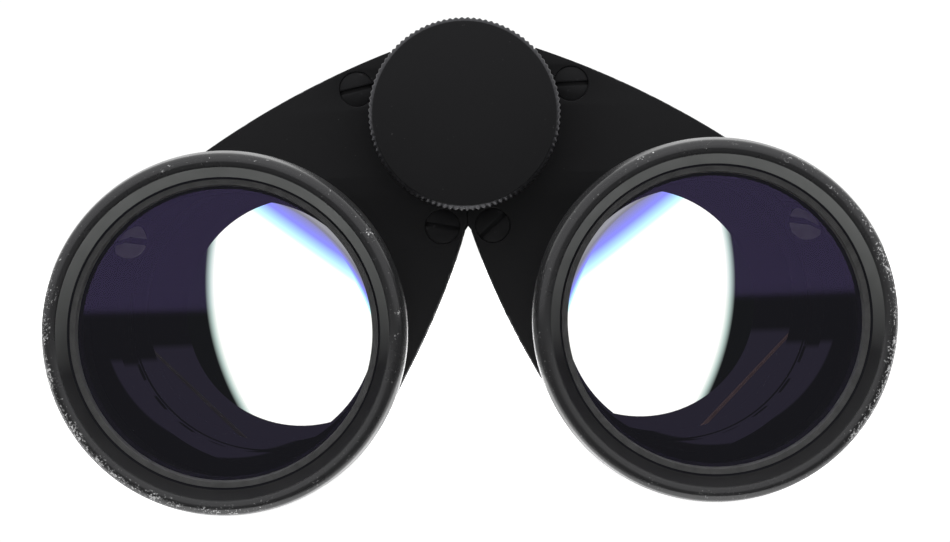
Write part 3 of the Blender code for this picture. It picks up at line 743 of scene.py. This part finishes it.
def focus_lens(side):
    """Nearly flat on both faces, so that it only trims the focus."""
    axis, radius = round_node(side + "_focus_lens")
    faces = [(0.0, -0.6), (radius - 0.1, -0.7), (radius, -0.6), (radius, 0.6),
             (radius - 0.1, 0.7), (0.0, 0.6)]
    lens = turned_piece(side + "_focus_glass", faces, axis, 96, closed=False)
    fitted(lens, side + "_focus_lens", side + "_focusing_lens", "lens_glass", FOCUS_GLASS,
           CELL_BLACK)
    for face in lens.data.polygons:
        if math.hypot(face.center.x - axis.x, face.center.z - axis.z) > (radius - 0.15) * MM:
            face.material_index = 1


CELL_RING = (13.36, 12.22, 46.24, 51.36)


def focus_cell(side):
    """The smooth turned ring round the focusing lens; its arm is cast with it."""
    axis = barrel_axis(side)
    outer, bore, front, back = CELL_RING
    cell = rounded([(outer, front), (outer, back), (bore, back), (bore, front)], 0.1, 2)
    ring = turned_piece(side + "_focus_cell", cell, axis, 96)
    fitted(ring, None, side + "_focusing_lens", "anodised",
           black_with_painted_glow(side + "_cell_painted_glow", side, CELL_GLOW_DROP, CELL_GLOW_RING))


HEAD_DEPTH = 1.4
SLOT_DEPTH = 0.55
GUIDE_HALF_SLOT = 0.3


def slotted_head(name, centre, radius, tilt, facing, half_slot, finish):
    """A cheese-headed screw: a turned disc with a straight slot cut across its face."""
    shape = bmesh.new()
    round_over, steps = 0.16, 48
    levels = [(0.0, radius - round_over), (round_over * 0.3, radius - round_over * 0.3),
              (round_over, radius), (HEAD_DEPTH, radius)]
    disc = []
    for level, reach in levels:
        disc.append([(reach * math.cos(2 * math.pi * i / steps), level,
                      reach * math.sin(2 * math.pi * i / steps)) for i in range(steps)])
    rings = [[shape.verts.new(spot) for spot in ring] for ring in disc]
    for first, second in zip(rings, rings[1:]):
        for i in range(steps):
            j = (i + 1) % steps
            shape.faces.new((first[i], first[j], second[j], second[i]))
    shape.faces.new(rings[0])
    shape.faces.new(rings[-1])
    bmesh.ops.recalc_face_normals(shape, faces=shape.faces)
    head = link(bpy.data.objects.new(name, mesh_from(name, shape)))
    cutter_shape = bmesh.new()
    bmesh.ops.create_cube(cutter_shape, size=1.0)
    for vert in cutter_shape.verts:
        vert.co = Vector((vert.co.x * 3.0 * radius, vert.co.y * 2.0 * SLOT_DEPTH,
                          vert.co.z * 2.0 * half_slot))
    cutter_mesh = mesh_from(name + "_cutter", cutter_shape)
    cutter = link(bpy.data.objects.new(name + "_cutter", cutter_mesh))
    slot = head.modifiers.new("slot", 'BOOLEAN')
    slot.operation = 'DIFFERENCE'
    slot.object = cutter
    edge = head.modifiers.new("edge", 'BEVEL')
    edge.width = 0.06
    edge.segments = 2
    edge.limit_method = 'ANGLE'
    edge.angle_limit = math.radians(50.0)
    graph = bpy.context.evaluated_depsgraph_get()
    mesh = bpy.data.meshes.new_from_object(head.evaluated_get(graph))
    for old in (head, cutter):
        bpy.data.objects.remove(old)
    if facing > 0:
        mesh.transform(Matrix.Rotation(math.pi, 4, 'Z'))
    mesh.transform(Matrix.Rotation(math.radians(-tilt), 4, 'Y'))
    mesh.transform(Matrix.Scale(MM, 4))
    mesh.transform(Matrix.Translation(centre))
    mesh.name = name
    mesh.materials.clear()
    mesh.materials.append(finish)
    mesh.shade_smooth()
    mesh.set_sharp_from_angle(angle=math.radians(35.0))
    return link(bpy.data.objects.new(name, mesh))


def guide_rod(side):
    """The rod that keeps the focusing cell upright; its slotted head faces the lens."""
    centre, radius = round_node(side + "_guide_rod", -1)
    head = slotted_head(side + "_guide_head", centre, radius, -8.0, -1, GUIDE_HALF_SLOT,
                        GUIDE_STEEL_PAINTED_GLOW)
    fitted(head, side + "_guide_rod", HALF_BODY[side], "steel", CELL_BLACK)
    for face in head.data.polygons:
        if face.center.y > centre.y + 0.3 * MM:
            face.material_index = 1
    rod = turned_piece(side + "_guide_shank", [(0.0, 1.2), (0.9, 1.2), (0.9, 15.8), (0.7, 16.0),
                                               (0.0, 16.0)], centre, 32, closed=False)
    fitted(rod, None, HALF_BODY[side], "steel", GUIDE_STEEL_PAINTED_GLOW)


for side in SIDES:
    field_light(side)
    prism_mount(side)
    prism_strap(side)
    focus_lens(side)
    focus_cell(side)
    guide_rod(side)
    repaint(side + "_focus_carrier", CELL_BLACK)
    repaint(side + "_helper_prism", PRISM_GLASS)
    repaint(side + "_roof_prism", PRISM_GLASS)


# ---------------------------------------------------------------- cover plates
# Two flat plates close each housing, one in front and one behind.  They are
# stamped from aluminium and sprayed satin black; their edges are broken, and the
# paint has rubbed thin there.  Slotted screws sit flush in them.

WHEEL_MIDDLE = (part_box("focus_wheel")[0].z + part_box("focus_wheel")[1].z) / 2.0
HINGE = Vector((0.0, cad_box[0][1], WHEEL_MIDDLE))
AXIS_ACROSS = barrel_axis("left").x / MM
AXIS_DROP = (HINGE.z - barrel_axis("left").z) / MM
BODY_RADIUS = 20.3
TOP_CORNER, TOP_TANGENT, TOP_BULGE = (9.1, 8.5), 52.0, 1.45
LOW_CORNER, LOW_TANGENT, LOW_BULGE = (0.15, -13.3), -155.0, 0.6


def polar(radius, degrees, centre=(0.0, 0.0)):
    turn = math.radians(degrees)
    return (centre[0] + radius * math.cos(turn), centre[1] + radius * math.sin(turn))


def arc(radius, start, end, steps, centre=(0.0, 0.0)):
    return [polar(radius, start + (end - start) * i / steps, centre) for i in range(steps + 1)]


def bulged(start, end, bulge, steps):
    run = Vector(end) - Vector(start)
    out = Vector((-run.y, run.x)).normalized() * bulge
    spots = [Vector(start) + run * (i / steps) + out * 4.0 * (i / steps) * (1.0 - i / steps)
             for i in range(steps + 1)]
    return [(spot.x, spot.y) for spot in spots]


def body_path(inset, arc_steps=90, edge_steps=24):
    """From the top corner round the barrel to the low corner, about the hinge axis."""
    centre = (AXIS_ACROSS, -AXIS_DROP)
    radius = BODY_RADIUS - inset
    top = (TOP_CORNER[0] - 0.49 * inset, TOP_CORNER[1] - 0.87 * inset)
    low = (LOW_CORNER[0] + inset, LOW_CORNER[1] + 0.22 * inset)
    path = bulged(top, polar(radius, TOP_TANGENT, centre), TOP_BULGE, edge_steps)
    path += arc(radius, TOP_TANGENT, LOW_TANGENT, arc_steps, centre)[1:]
    path += bulged(polar(radius, LOW_TANGENT, centre), low, LOW_BULGE, edge_steps)[1:]
    return path


def flat_sheet(name, outline, holes, front, back, edge, side):
    """A flat outline with round holes, all its edges rolled over by edge millimetres."""
    sign = -inward(side)
    curve = bpy.data.curves.new(name, 'CURVE')
    curve.dimensions = '2D'
    curve.fill_mode = 'BOTH'
    curve.extrude = ((back - front) / 2.0 - edge) * MM
    curve.bevel_depth = edge * MM
    curve.bevel_resolution = 3
    curve.offset = -edge * MM
    loops = [outline] + [arc(r, 360.0, 0.0, 64, (x, z))[:-1] for x, z, r in holes]
    for loop in loops:
        spline = curve.splines.new('POLY')
        points = [(sign * x, z) for x, z in loop]
        spline.points.add(len(points) - 1)
        for point, (x, z) in zip(spline.points, points):
            point.co = (x * MM, z * MM, 0.0, 1.0)
        spline.use_cyclic_u = True
    guide = link(bpy.data.objects.new(name + "_guide", curve))
    graph = bpy.context.evaluated_depsgraph_get()
    mesh = bpy.data.meshes.new_from_object(guide.evaluated_get(graph))
    bpy.data.objects.remove(guide)
    place = Matrix.Translation((0.0, HINGE.y + (front + back) / 2.0 * MM, HINGE.z))
    mesh.transform(place @ Matrix.Rotation(math.pi / 2.0, 4, 'X'))
    shape = bmesh.new()
    shape.from_mesh(mesh)
    bmesh.ops.remove_doubles(shape, verts=shape.verts, dist=0.000001)
    bmesh.ops.recalc_face_normals(shape, faces=shape.faces)
    shape.to_mesh(mesh)
    shape.free()
    mesh.materials.clear()
    mesh.shade_smooth()
    mesh.set_sharp_from_angle(angle=math.radians(40.0))
    return link(bpy.data.objects.new(name, mesh))


def satin_spray(name):
    """Satin black spray: a very fine even grain, slightly cloudy, a little dust."""
    paint = Paintbox(name, (0.004, 0.004, 0.0045), 0.6)
    paint.set("Specular IOR Level", 0.22)
    cloud = paint.noise(120.0, 5.0, 0.6)
    dust = paint.between(paint.noise(2600.0, 2.0), 0.74, 0.8)
    base = paint.blend(cloud, (0.004, 0.004, 0.0045), (0.006, 0.006, 0.0065))
    paint.colour(dust, base, (0.05, 0.05, 0.05))
    paint.shine(cloud, 0.56, 0.66)
    grain = paint.noise(3200.0, 2.0)
    paint.relief(grain, 0.000006, 0.5)
    return paint.material


def rubbed_edge(name):
    """Where paint has rubbed through to grey metal in places along an edge."""
    paint = Paintbox(name, (0.03, 0.03, 0.032), 0.35, 0.2)
    wear = paint.noise(650.0, 5.0, 0.65)
    bare = paint.between(wear, 0.5, 0.66)
    paint.colour(bare, (0.012, 0.012, 0.013), (0.16, 0.16, 0.165))
    paint.relief(wear, 0.00001, 0.4)
    return paint.material


PLATE_SATIN = satin_spray("plate_satin_black")
PLATE_EDGE = rubbed_edge("plate_rubbed_edge")


RUBBED_BEYOND = 17.0


def paint_edges(mesh):
    """Rolled or sloping faces far from the hinge take the second finish."""
    for face in mesh.polygons:
        middle = face.center - HINGE
        reach = math.hypot(middle.x, middle.z) / MM
        if 0.2 < abs(face.normal.y) < 0.97 and reach > RUBBED_BEYOND:
            face.material_index = 1


FRONT_SCREWS = ((13.75, -77.0), (13.75, 16.0))
REAR_SCREWS = ((15.2, -70.0), (15.2, 3.0))
PLATE_INSET = 0.2
PLATE_ROLL = 0.14
BARREL_HOLE, TUBE_HOLE = 17.4, 12.2
FRONT_HINGE_GAP, REAR_HINGE_GAP = 9.0, 12.1
FRONT_SCREW_HOLE, REAR_SCREW_HOLE = 2.13, 1.69
PLATE_HALF_SLOT = 0.27


def cover_plate(side, node, barrel_hole, ring, screw_hole, screws):
    """One plate: ring is the radius of the gap that it leaves about the hinge."""
    low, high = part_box(node)
    front, back = (low.y - HINGE.y) / MM, (high.y - HINGE.y) / MM
    outline = body_path(PLATE_INSET)
    outline[-1] = (0.0, outline[-1][1])
    start = math.degrees(math.acos(outline[-1][0] / ring))
    top = math.degrees(math.atan2(outline[0][1], outline[0][0]))
    outline += arc(ring, -start, top, 40)
    holes = [(AXIS_ACROSS, -AXIS_DROP, barrel_hole)]
    holes += [(*polar(reach, angle), screw_hole) for reach, angle in screws]
    plate = flat_sheet(node + "_sheet", outline, holes, front, back, PLATE_ROLL, side)
    fitted(plate, node, HALF_BODY[side], "satin_plate", PLATE_SATIN, PLATE_EDGE)
    paint_edges(plate.data)


def blackened_steel(name):
    """Chemically blackened screw steel, worn a little paler in places."""
    paint = Paintbox(name, (0.005, 0.005, 0.0055), 0.55)
    paint.set("Specular IOR Level", 0.25)
    wear = paint.noise(900.0, 4.0, 0.6)
    bare = paint.between(wear, 0.62, 0.75)
    paint.colour(bare, (0.004, 0.004, 0.0045), (0.03, 0.03, 0.032))
    lathe = paint.noise(2200.0, 2.0)
    paint.relief(lathe, 0.000006, 0.5)
    return paint.material


SCREW_BLACK = blackened_steel("screw_blackened_steel")


def plate_screw(side, node, tilt, facing):
    centre, radius = round_node(node, facing)
    screw = slotted_head(node + "_head", centre, radius, tilt, facing, PLATE_HALF_SLOT,
                         SCREW_BLACK)
    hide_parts(node)
    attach(screw, HALF_BODY[side])


SLOT_TILTS = {"left_plate_screw_lower": 42.0, "left_plate_screw_upper": 2.0,
              "right_plate_screw_lower": -10.0, "right_plate_screw_upper": 12.0,
              "left_rear_screw_lower": 25.0, "left_rear_screw_upper": 80.0,
              "right_rear_screw_lower": -35.0, "right_rear_screw_upper": 5.0}

for side in SIDES:
    cover_plate(side, side + "_front_plate", BARREL_HOLE, FRONT_HINGE_GAP, FRONT_SCREW_HOLE,
                FRONT_SCREWS)
    cover_plate(side, side + "_rear_plate", TUBE_HOLE, REAR_HINGE_GAP, REAR_SCREW_HOLE,
                REAR_SCREWS)
    for place, facing in (("plate", -1), ("rear", 1)):
        for level in ("lower", "upper"):
            node = side + "_" + place + "_screw_" + level
            plate_screw(side, node, SLOT_TILTS[node], facing)


# ---------------------------------------------------------------- focus wheel
# Turned aluminium with a hundred straight teeth rolled round it, chamfered at
# both ends, and a flat satin disc let into its face.

WHEEL_TEETH = 100
WHEEL_TIP, WHEEL_ROOT = 11.55, 11.38


def lofted(name, loops, sharp=40.0, around=False):
    """Join closed loops of points in turn; cap both ends, or join them if it goes around."""
    shape = bmesh.new()
    rings = [[shape.verts.new(spot) for spot in loop] for loop in loops]
    following = rings[1:] + rings[:1] if around else rings[1:]
    for first, second in zip(rings, following):
        for i in range(len(first)):
            j = (i + 1) % len(first)
            shape.faces.new((first[i], first[j], second[j], second[i]))
    if not around:
        shape.faces.new(rings[0])
        shape.faces.new(rings[-1])
    return smoothed(name, shape, sharp)


POINTS_PER_TOOTH = 8


def toothed_drum(name, levels, centre):
    """Rings of rounded teeth, one for each (tip radius, root radius, depth) level."""
    loops = []
    count = WHEEL_TEETH * POINTS_PER_TOOTH
    for tip, root, depth in levels:
        loop = []
        for i in range(count):
            phase = (i % POINTS_PER_TOOTH) / POINTS_PER_TOOTH
            crest = 0.5 + 0.5 * math.cos(2.0 * math.pi * phase)
            reach = (root + (tip - root) * crest ** 0.8) * MM
            turn = 2.0 * math.pi * i / count
            loop.append((centre.x + reach * math.cos(turn), HINGE.y + depth * MM,
                         centre.z + reach * math.sin(turn)))
        loops.append(loop)
    return lofted(name, loops, 50.0)


def handled_black(name):
    """Anodised black that fingers have polished: the crests shine more."""
    paint = Paintbox(name, (0.09, 0.09, 0.095), 0.36, 0.85)
    rub = paint.noise(500.0, 4.0)
    paint.colour(rub, (0.035, 0.035, 0.037), (0.08, 0.08, 0.085))
    paint.shine(rub, 0.28, 0.42)
    paint.relief(rub, 0.00001, 0.3)
    return paint.material


WHEEL_BLACK = handled_black("wheel_anodised_black")
DISC_SATIN = satin_spray("wheel_disc_satin")


def focus_wheel():
    levels = [(9.8, 9.8, 27.1), (10.9, 10.9, 27.05), (11.1, 11.1, 27.07),
              (WHEEL_TIP - 0.12, WHEEL_ROOT - 0.04, 27.4), (WHEEL_TIP, WHEEL_ROOT, 27.55),
              (WHEEL_TIP, WHEEL_ROOT, 34.45), (WHEEL_TIP - 0.12, WHEEL_ROOT - 0.12, 34.6),
              (11.0, 10.95, 34.98), (7.2, 7.2, 35.0), (7.0, 7.0, 35.2), (7.0, 7.0, 36.8),
              (6.8, 6.8, 37.0)]
    wheel = toothed_drum("knurled_wheel", levels, HINGE)
    fitted(wheel, "focus_wheel", "focus_knob", "gloss_enamel", WHEEL_BLACK)
    face = [(0.0, 26.2), (10.85, 26.2), (10.98, 26.23), (11.05, 26.32), (11.05, 26.85),
            (10.9, 26.95), (0.0, 26.95)]
    disc = turned_piece("wheel_face", face, HINGE, 160, closed=False)
    fitted(disc, "wheel_face_disc", "focus_knob", "satin_plate", DISC_SATIN)


focus_wheel()
SPINDLE_STEEL = brushed("spindle_steel", (0.45, 0.45, 0.46), 0.3)
NUT_BRASS = brushed("drive_nut_brass", (0.6, 0.42, 0.16), 0.32)
repaint("focus_spindle", SPINDLE_STEEL)
repaint("hinge_axle", SPINDLE_STEEL)
repaint("drive_nut", NUT_BRASS)


# ---------------------------------------------------------------- leather covers
# Pebbled black leather, wrapped round each housing from the top of the hinge,
# round the barrel, to the bottom of the hinge, and glued down.

LEATHER = 0.7


def evenly(path, pitch):
    """The same path with points every pitch millimetres, and the way out at each."""
    spots, carry = [], 0.0
    for (ax, az), (bx, bz) in zip(path, path[1:]):
        run = math.hypot(bx - ax, bz - az)
        while carry <= run:
            t = carry / max(run, 1e-9)
            spots.append((ax + (bx - ax) * t, az + (bz - az) * t))
            carry += pitch
        carry -= run
    spots.append(path[-1])
    ways = []
    for i in range(len(spots)):
        ax, az = spots[max(0, i - 2)]
        bx, bz = spots[min(len(spots) - 1, i + 2)]
        span = math.hypot(bx - ax, bz - az)
        ways.append((-(bz - az) / span, (bx - ax) / span))
    return list(zip(spots, ways))


def pebble(x, y, z):
    """How far the grain sinks at a place, in millimetres: deep only between the pebbles."""
    near = mathutils_noise.voronoi(Vector((x, y, z)) / 1.25)[0]
    seam = min(1.0, (near[1] - near[0]) * 2.2)
    drift = mathutils_noise.noise(Vector((x, y, z)) / 3.1)
    return 0.20 * (1.0 - seam) ** 1.5 + 0.03 * (1.0 + drift)


def worn_leather(name):
    paint = Paintbox(name, (0.012, 0.011, 0.011), 0.55)
    paint.set("Specular IOR Level", 0.45)
    tone = paint.noise(140.0, 4.0)
    pores = paint.grain(2600.0)
    paint.colour(tone, (0.007, 0.007, 0.007), (0.014, 0.0135, 0.013))
    paint.shine(tone, 0.34, 0.5)
    paint.relief(pores, 0.00004, 0.5)
    return paint.material


LEATHER_BLACK = worn_leather("pebbled_leather")


def leather_cover(side):
    sign = -inward(side)
    low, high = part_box(side + "_leather_cover")
    front, back = (low.y - HINGE.y) / MM + 0.02, (high.y - HINGE.y) / MM - 0.02
    rows = 104
    loops = []
    glued = LEATHER - 0.05
    track = evenly(body_path(0.02), 0.5)
    for place, ((x, z), (out_x, out_z)) in enumerate(track):
        loop = []
        for row in range(rows + 1):
            depth = front + (back - front) * row / rows
            end = min(row, rows - row, place, len(track) - 1 - place)
            sink = pebble(sign * x, depth, z) + (0.25, 0.06, 0.0)[min(end, 2)]
            loop.append((sign * (x - out_x * sink), depth, z - out_z * sink))
        for depth in (back, front):
            loop.append((sign * (x - out_x * glued), depth, z - out_z * glued))
        loops.append([HINGE + Vector(spot) * MM for spot in loop])
    cover = lofted(side + "_leather_wrap", loops, 70.0)
    fitted(cover, side + "_leather_cover", HALF_BODY[side], "leather", LEATHER_BLACK)


# ---------------------------------------------------------------- housings and hinge
# Cast shells in black enamel.  Three knuckles take turns along the hinge: the
# outer two belong to one half, the middle one to the other.

def cast_enamel(name):
    paint = Paintbox(name, (0.008, 0.008, 0.009), 0.28)
    cast = paint.noise(450.0, 4.0)
    paint.colour(paint.noise(90.0, 3.0), (0.006, 0.006, 0.007), (0.011, 0.011, 0.012))
    paint.shine(cast, 0.22, 0.36)
    paint.relief(cast, 0.00002, 0.4)
    return paint.material


CAST_BLACK = cast_enamel("cast_black_enamel")
KNUCKLE_RADIUS = 11.0
KNUCKLE_FROM, KNUCKLE_SWEEP = 2.0, 138.0
KNUCKLES = (("left", 40.3, 56.2), ("right", 56.5, 76.5), ("left", 76.8, 91.7))


def knuckle_sleeve(side, front, back):
    """The round top of a knuckle, with its edges broken."""
    sign = -inward(side)
    shell = rounded([(KNUCKLE_RADIUS + 0.04, front), (KNUCKLE_RADIUS + 0.04, back),
                     (KNUCKLE_RADIUS - 0.7, back), (KNUCKLE_RADIUS - 0.7, front)], 0.25, 3)
    loops = []
    for i in range(73):
        turn = math.radians(KNUCKLE_FROM + KNUCKLE_SWEEP * i / 72)
        loops.append([HINGE + Vector((sign * r * math.cos(turn), depth, r * math.sin(turn))) * MM
                      for r, depth in shell])
    sleeve = lofted("%s_knuckle_%d" % (side, round(front)), loops)
    fitted(sleeve, None, HALF_BODY[side], "gloss_enamel", CAST_BLACK)


def hinge_cap():
    face = rounded([(0.0, 92.0), (10.8, 92.0), (10.8, 94.2), (4.6, 94.2), (4.3, 93.8),
                    (4.0, 94.2), (0.0, 94.2)], [0.0, 0.1, 0.6, 0.1, 0.1, 0.1, 0.0], 4)
    cap = turned_piece("hinge_cap_turned", face, HINGE, 128, closed=False)
    fitted(cap, "hinge_rear_cap", "left_half", "satin_plate", PLATE_SATIN)


for side in SIDES:
    leather_cover(side)
    repaint(side + "_housing", CAST_BLACK)
for side, front, back in KNUCKLES:
    knuckle_sleeve(side, front, back)
hinge_cap()


# ---------------------------------------------------------------- eyepieces
# Black anodised tubes.  The left has a plain collar at its foot, the right a
# ribbed ring that sets the dioptre.  Rubber eyecups slide over them.

EYE_PURPLE = coated_glass("eye_lens_glass", (0.55, 0.5, 1.0), 0.6)
TUBE_BLACK = handled_black("eyepiece_tube_black")


def moulded_rubber(name):
    paint = Paintbox(name, (0.02, 0.02, 0.02), 0.7)
    bloom = paint.noise(160.0, 5.0, 0.65)
    skin = paint.noise(1800.0, 3.0)
    paint.colour(bloom, (0.014, 0.014, 0.014), (0.032, 0.031, 0.030))
    paint.shine(bloom, 0.6, 0.8)
    paint.relief(skin, 0.00003, 0.4)
    return paint.material


CUP_RUBBER = moulded_rubber("eyecup_rubber")
MARK_WHITE = Paintbox("filled_mark_white", (0.7, 0.7, 0.68), 0.6).material
EYE_GLASS_RADIUS = 10.9


def eyepiece_tube(side):
    axis = barrel_axis(side)
    tube = [(12.6, 118.0), (12.6, 95.2), (14.4, 95.2), (14.4, 94.5), (11.9, 94.5), (11.9, 91.0),
            (10.6, 91.0), (10.6, 95.0), (11.2, 95.0), (11.2, 117.4), (10.2, 117.4), (10.2, 118.0)]
    piece = turned_piece(side + "_eye_tube", rounded(tube, 0.15, 3), axis, 128)
    fitted(piece, side + "_eyepiece_tube", HALF_BODY[side], "anodised", TUBE_BLACK)


def eyecup(side):
    """Turned with shallow grip ribs, a rolled mouth and a soft outer corner."""
    axis = barrel_axis(side)
    outside = [(12.9, 103.4), (16.0, 103.4)]
    for rib in range(7):
        start = 104.4 + 1.9 * rib
        outside += [(16.2, start), (16.2, start + 1.1), (15.85, start + 1.3), (15.85, start + 1.7)]
    outside += [(16.2, 118.2), (16.2, 121.2), (15.4, 122.0), (11.6, 122.0), (10.6, 119.2),
                (12.9, 118.5)]
    piece = turned_piece(side + "_rubber_cup", rounded(outside, 0.35, 4), axis, 128, sharp=50.0)
    fitted(piece, side + "_eyecup", side + "_eyecup_sleeve", "rubber", CUP_RUBBER)


def eye_glass_outline(front, front_bulge, back, back_bulge):
    reach = [i / 12 for i in range(13)]
    outline = [(EYE_GLASS_RADIUS * t, front + front_bulge * t ** 2) for t in reach]
    return outline + [(EYE_GLASS_RADIUS * t, back - back_bulge * t ** 2) for t in reach[::-1]]


def eyepiece_glass(side):
    axis = barrel_axis(side)
    body = "left_half" if side == "left" else "right_ocular"
    field = eye_glass_outline(97.2, 1.2, 101.2, 1.2)
    eye = eye_glass_outline(112.0, 0.6, 116.0, 1.4)
    for profile, name in ((field, "_field_lens"), (eye, "_eye_lens")):
        piece = turned_piece(side + name + "_glass", profile, axis, 96, closed=False)
        fitted(piece, side + name, body, "lens_glass", EYE_PURPLE)


def plain_collar():
    axis = barrel_axis("left")
    ring = rounded([(12.9, 95.6), (15.8, 95.6), (15.8, 98.6), (15.5, 98.75), (15.5, 99.3),
                    (15.8, 99.45), (15.8, 102.8), (12.9, 102.8)], 0.3, 4)
    piece = turned_piece("left_collar_turned", ring, axis, 128)
    fitted(piece, "left_eyepiece_collar", "left_half", "anodised", TUBE_BLACK)


def dioptre_ring():
    """Ribbed all round in front, with a smooth band behind that carries plain ticks."""
    axis = barrel_axis("right")
    loops = []
    levels = [(12.9, 12.9, 95.6), (15.3, 15.2, 95.6), (15.78, 15.42, 96.1), (15.78, 15.42, 100.0),
              (15.4, 15.38, 100.3), (15.6, 15.6, 100.5), (15.6, 15.6, 102.5), (15.3, 15.3, 102.8),
              (12.9, 12.9, 102.8)]
    for i in range(480):
        turn = 2.0 * math.pi * i / 480
        crest = (0.5 + 0.5 * math.cos(48.0 * turn)) ** 0.7
        loop = []
        for tip, root, depth in levels:
            reach = (root + (tip - root) * crest) * MM
            loop.append((axis.x + reach * math.cos(turn), axis.y + depth * MM,
                         axis.z + reach * math.sin(turn)))
        loops.append(loop)
    ring = lofted("dioptre_ring_ribbed", loops, 45.0, around=True)
    fitted(ring, "right_dioptre_ring", "dioptre_ring", "anodised", TUBE_BLACK)
    for tick in range(-4, 5):
        turn = math.radians(90.0 + 8.0 * tick)
        across = Vector((-math.sin(turn), 0.0, math.cos(turn))) * 0.12 * MM
        out = Vector((math.cos(turn), 0.0, math.sin(turn)))
        reach = 1.5 if tick == 0 else 0.9
        loops = []
        for depth in (102.4 - reach, 102.4):
            base = axis + Vector((0.0, depth * MM, 0.0))
            under, top = base + out * 15.5 * MM, base + out * 15.62 * MM
            loops.append([under - across, under + across, top + across, top - across])
        mark = lofted("dioptre_tick_%d" % (tick + 4), loops)
        fitted(mark, None, "dioptre_ring", "anodised", MARK_WHITE)


for side in SIDES:
    eyepiece_tube(side)
    eyecup(side)
    eyepiece_glass(side)
plain_collar()
dioptre_ring()


# ---------------------------------------------------------------- strap lugs
# A bent steel bar on the outer side of each barrel, bright and lightly brushed.  Its
# feet are let into the shell, and a neck strap would loop through it.

LUG_STEEL = brushed("strap_lug_steel", (0.42, 0.42, 0.43), 0.28)
LUG_TILT = math.radians(20.0)
LUG_BAR_RADIUS = 0.98


def strap_lug(side):
    sign = -inward(side)
    axis = barrel_axis(side)
    bends = ((75.0, 0.6), (75.05, 2.0), (75.6, 3.0), (76.8, 3.3), (79.0, 3.3), (81.2, 3.3),
             (82.4, 3.0), (82.95, 2.0), (83.0, 0.6))
    spots = []
    for i in range(len(bends) - 1):
        for step in range(4):
            t = step / 4.0
            spots.append((bends[i][0] * (1 - t) + bends[i + 1][0] * t,
                          bends[i][1] * (1 - t) + bends[i + 1][1] * t))
    spots.append(bends[-1])
    out = Vector((sign * math.cos(LUG_TILT), 0.0, math.sin(LUG_TILT)))
    along = Vector((0.0, 1.0, 0.0))
    flat = out.cross(along)
    loops = []
    for i, (station, rise) in enumerate(spots):
        before = spots[max(0, i - 2)]
        after = spots[min(len(spots) - 1, i + 2)]
        run = (along * (after[0] - before[0]) + out * (after[1] - before[1])).normalized()
        normal = run.cross(flat).normalized()
        centre = axis + (along * station + out * (BODY_RADIUS + rise)) * MM
        loops.append([centre + (normal * math.cos(a) + flat * math.sin(a)) * LUG_BAR_RADIUS * MM
                      for a in [2.0 * math.pi * k / 20 for k in range(20)]])
    lug = lofted(side + "_strap_bar", loops)
    fitted(lug, side + "_strap_lug", HALF_BODY[side], "steel", LUG_STEEL)


for side in SIDES:
    strap_lug(side)
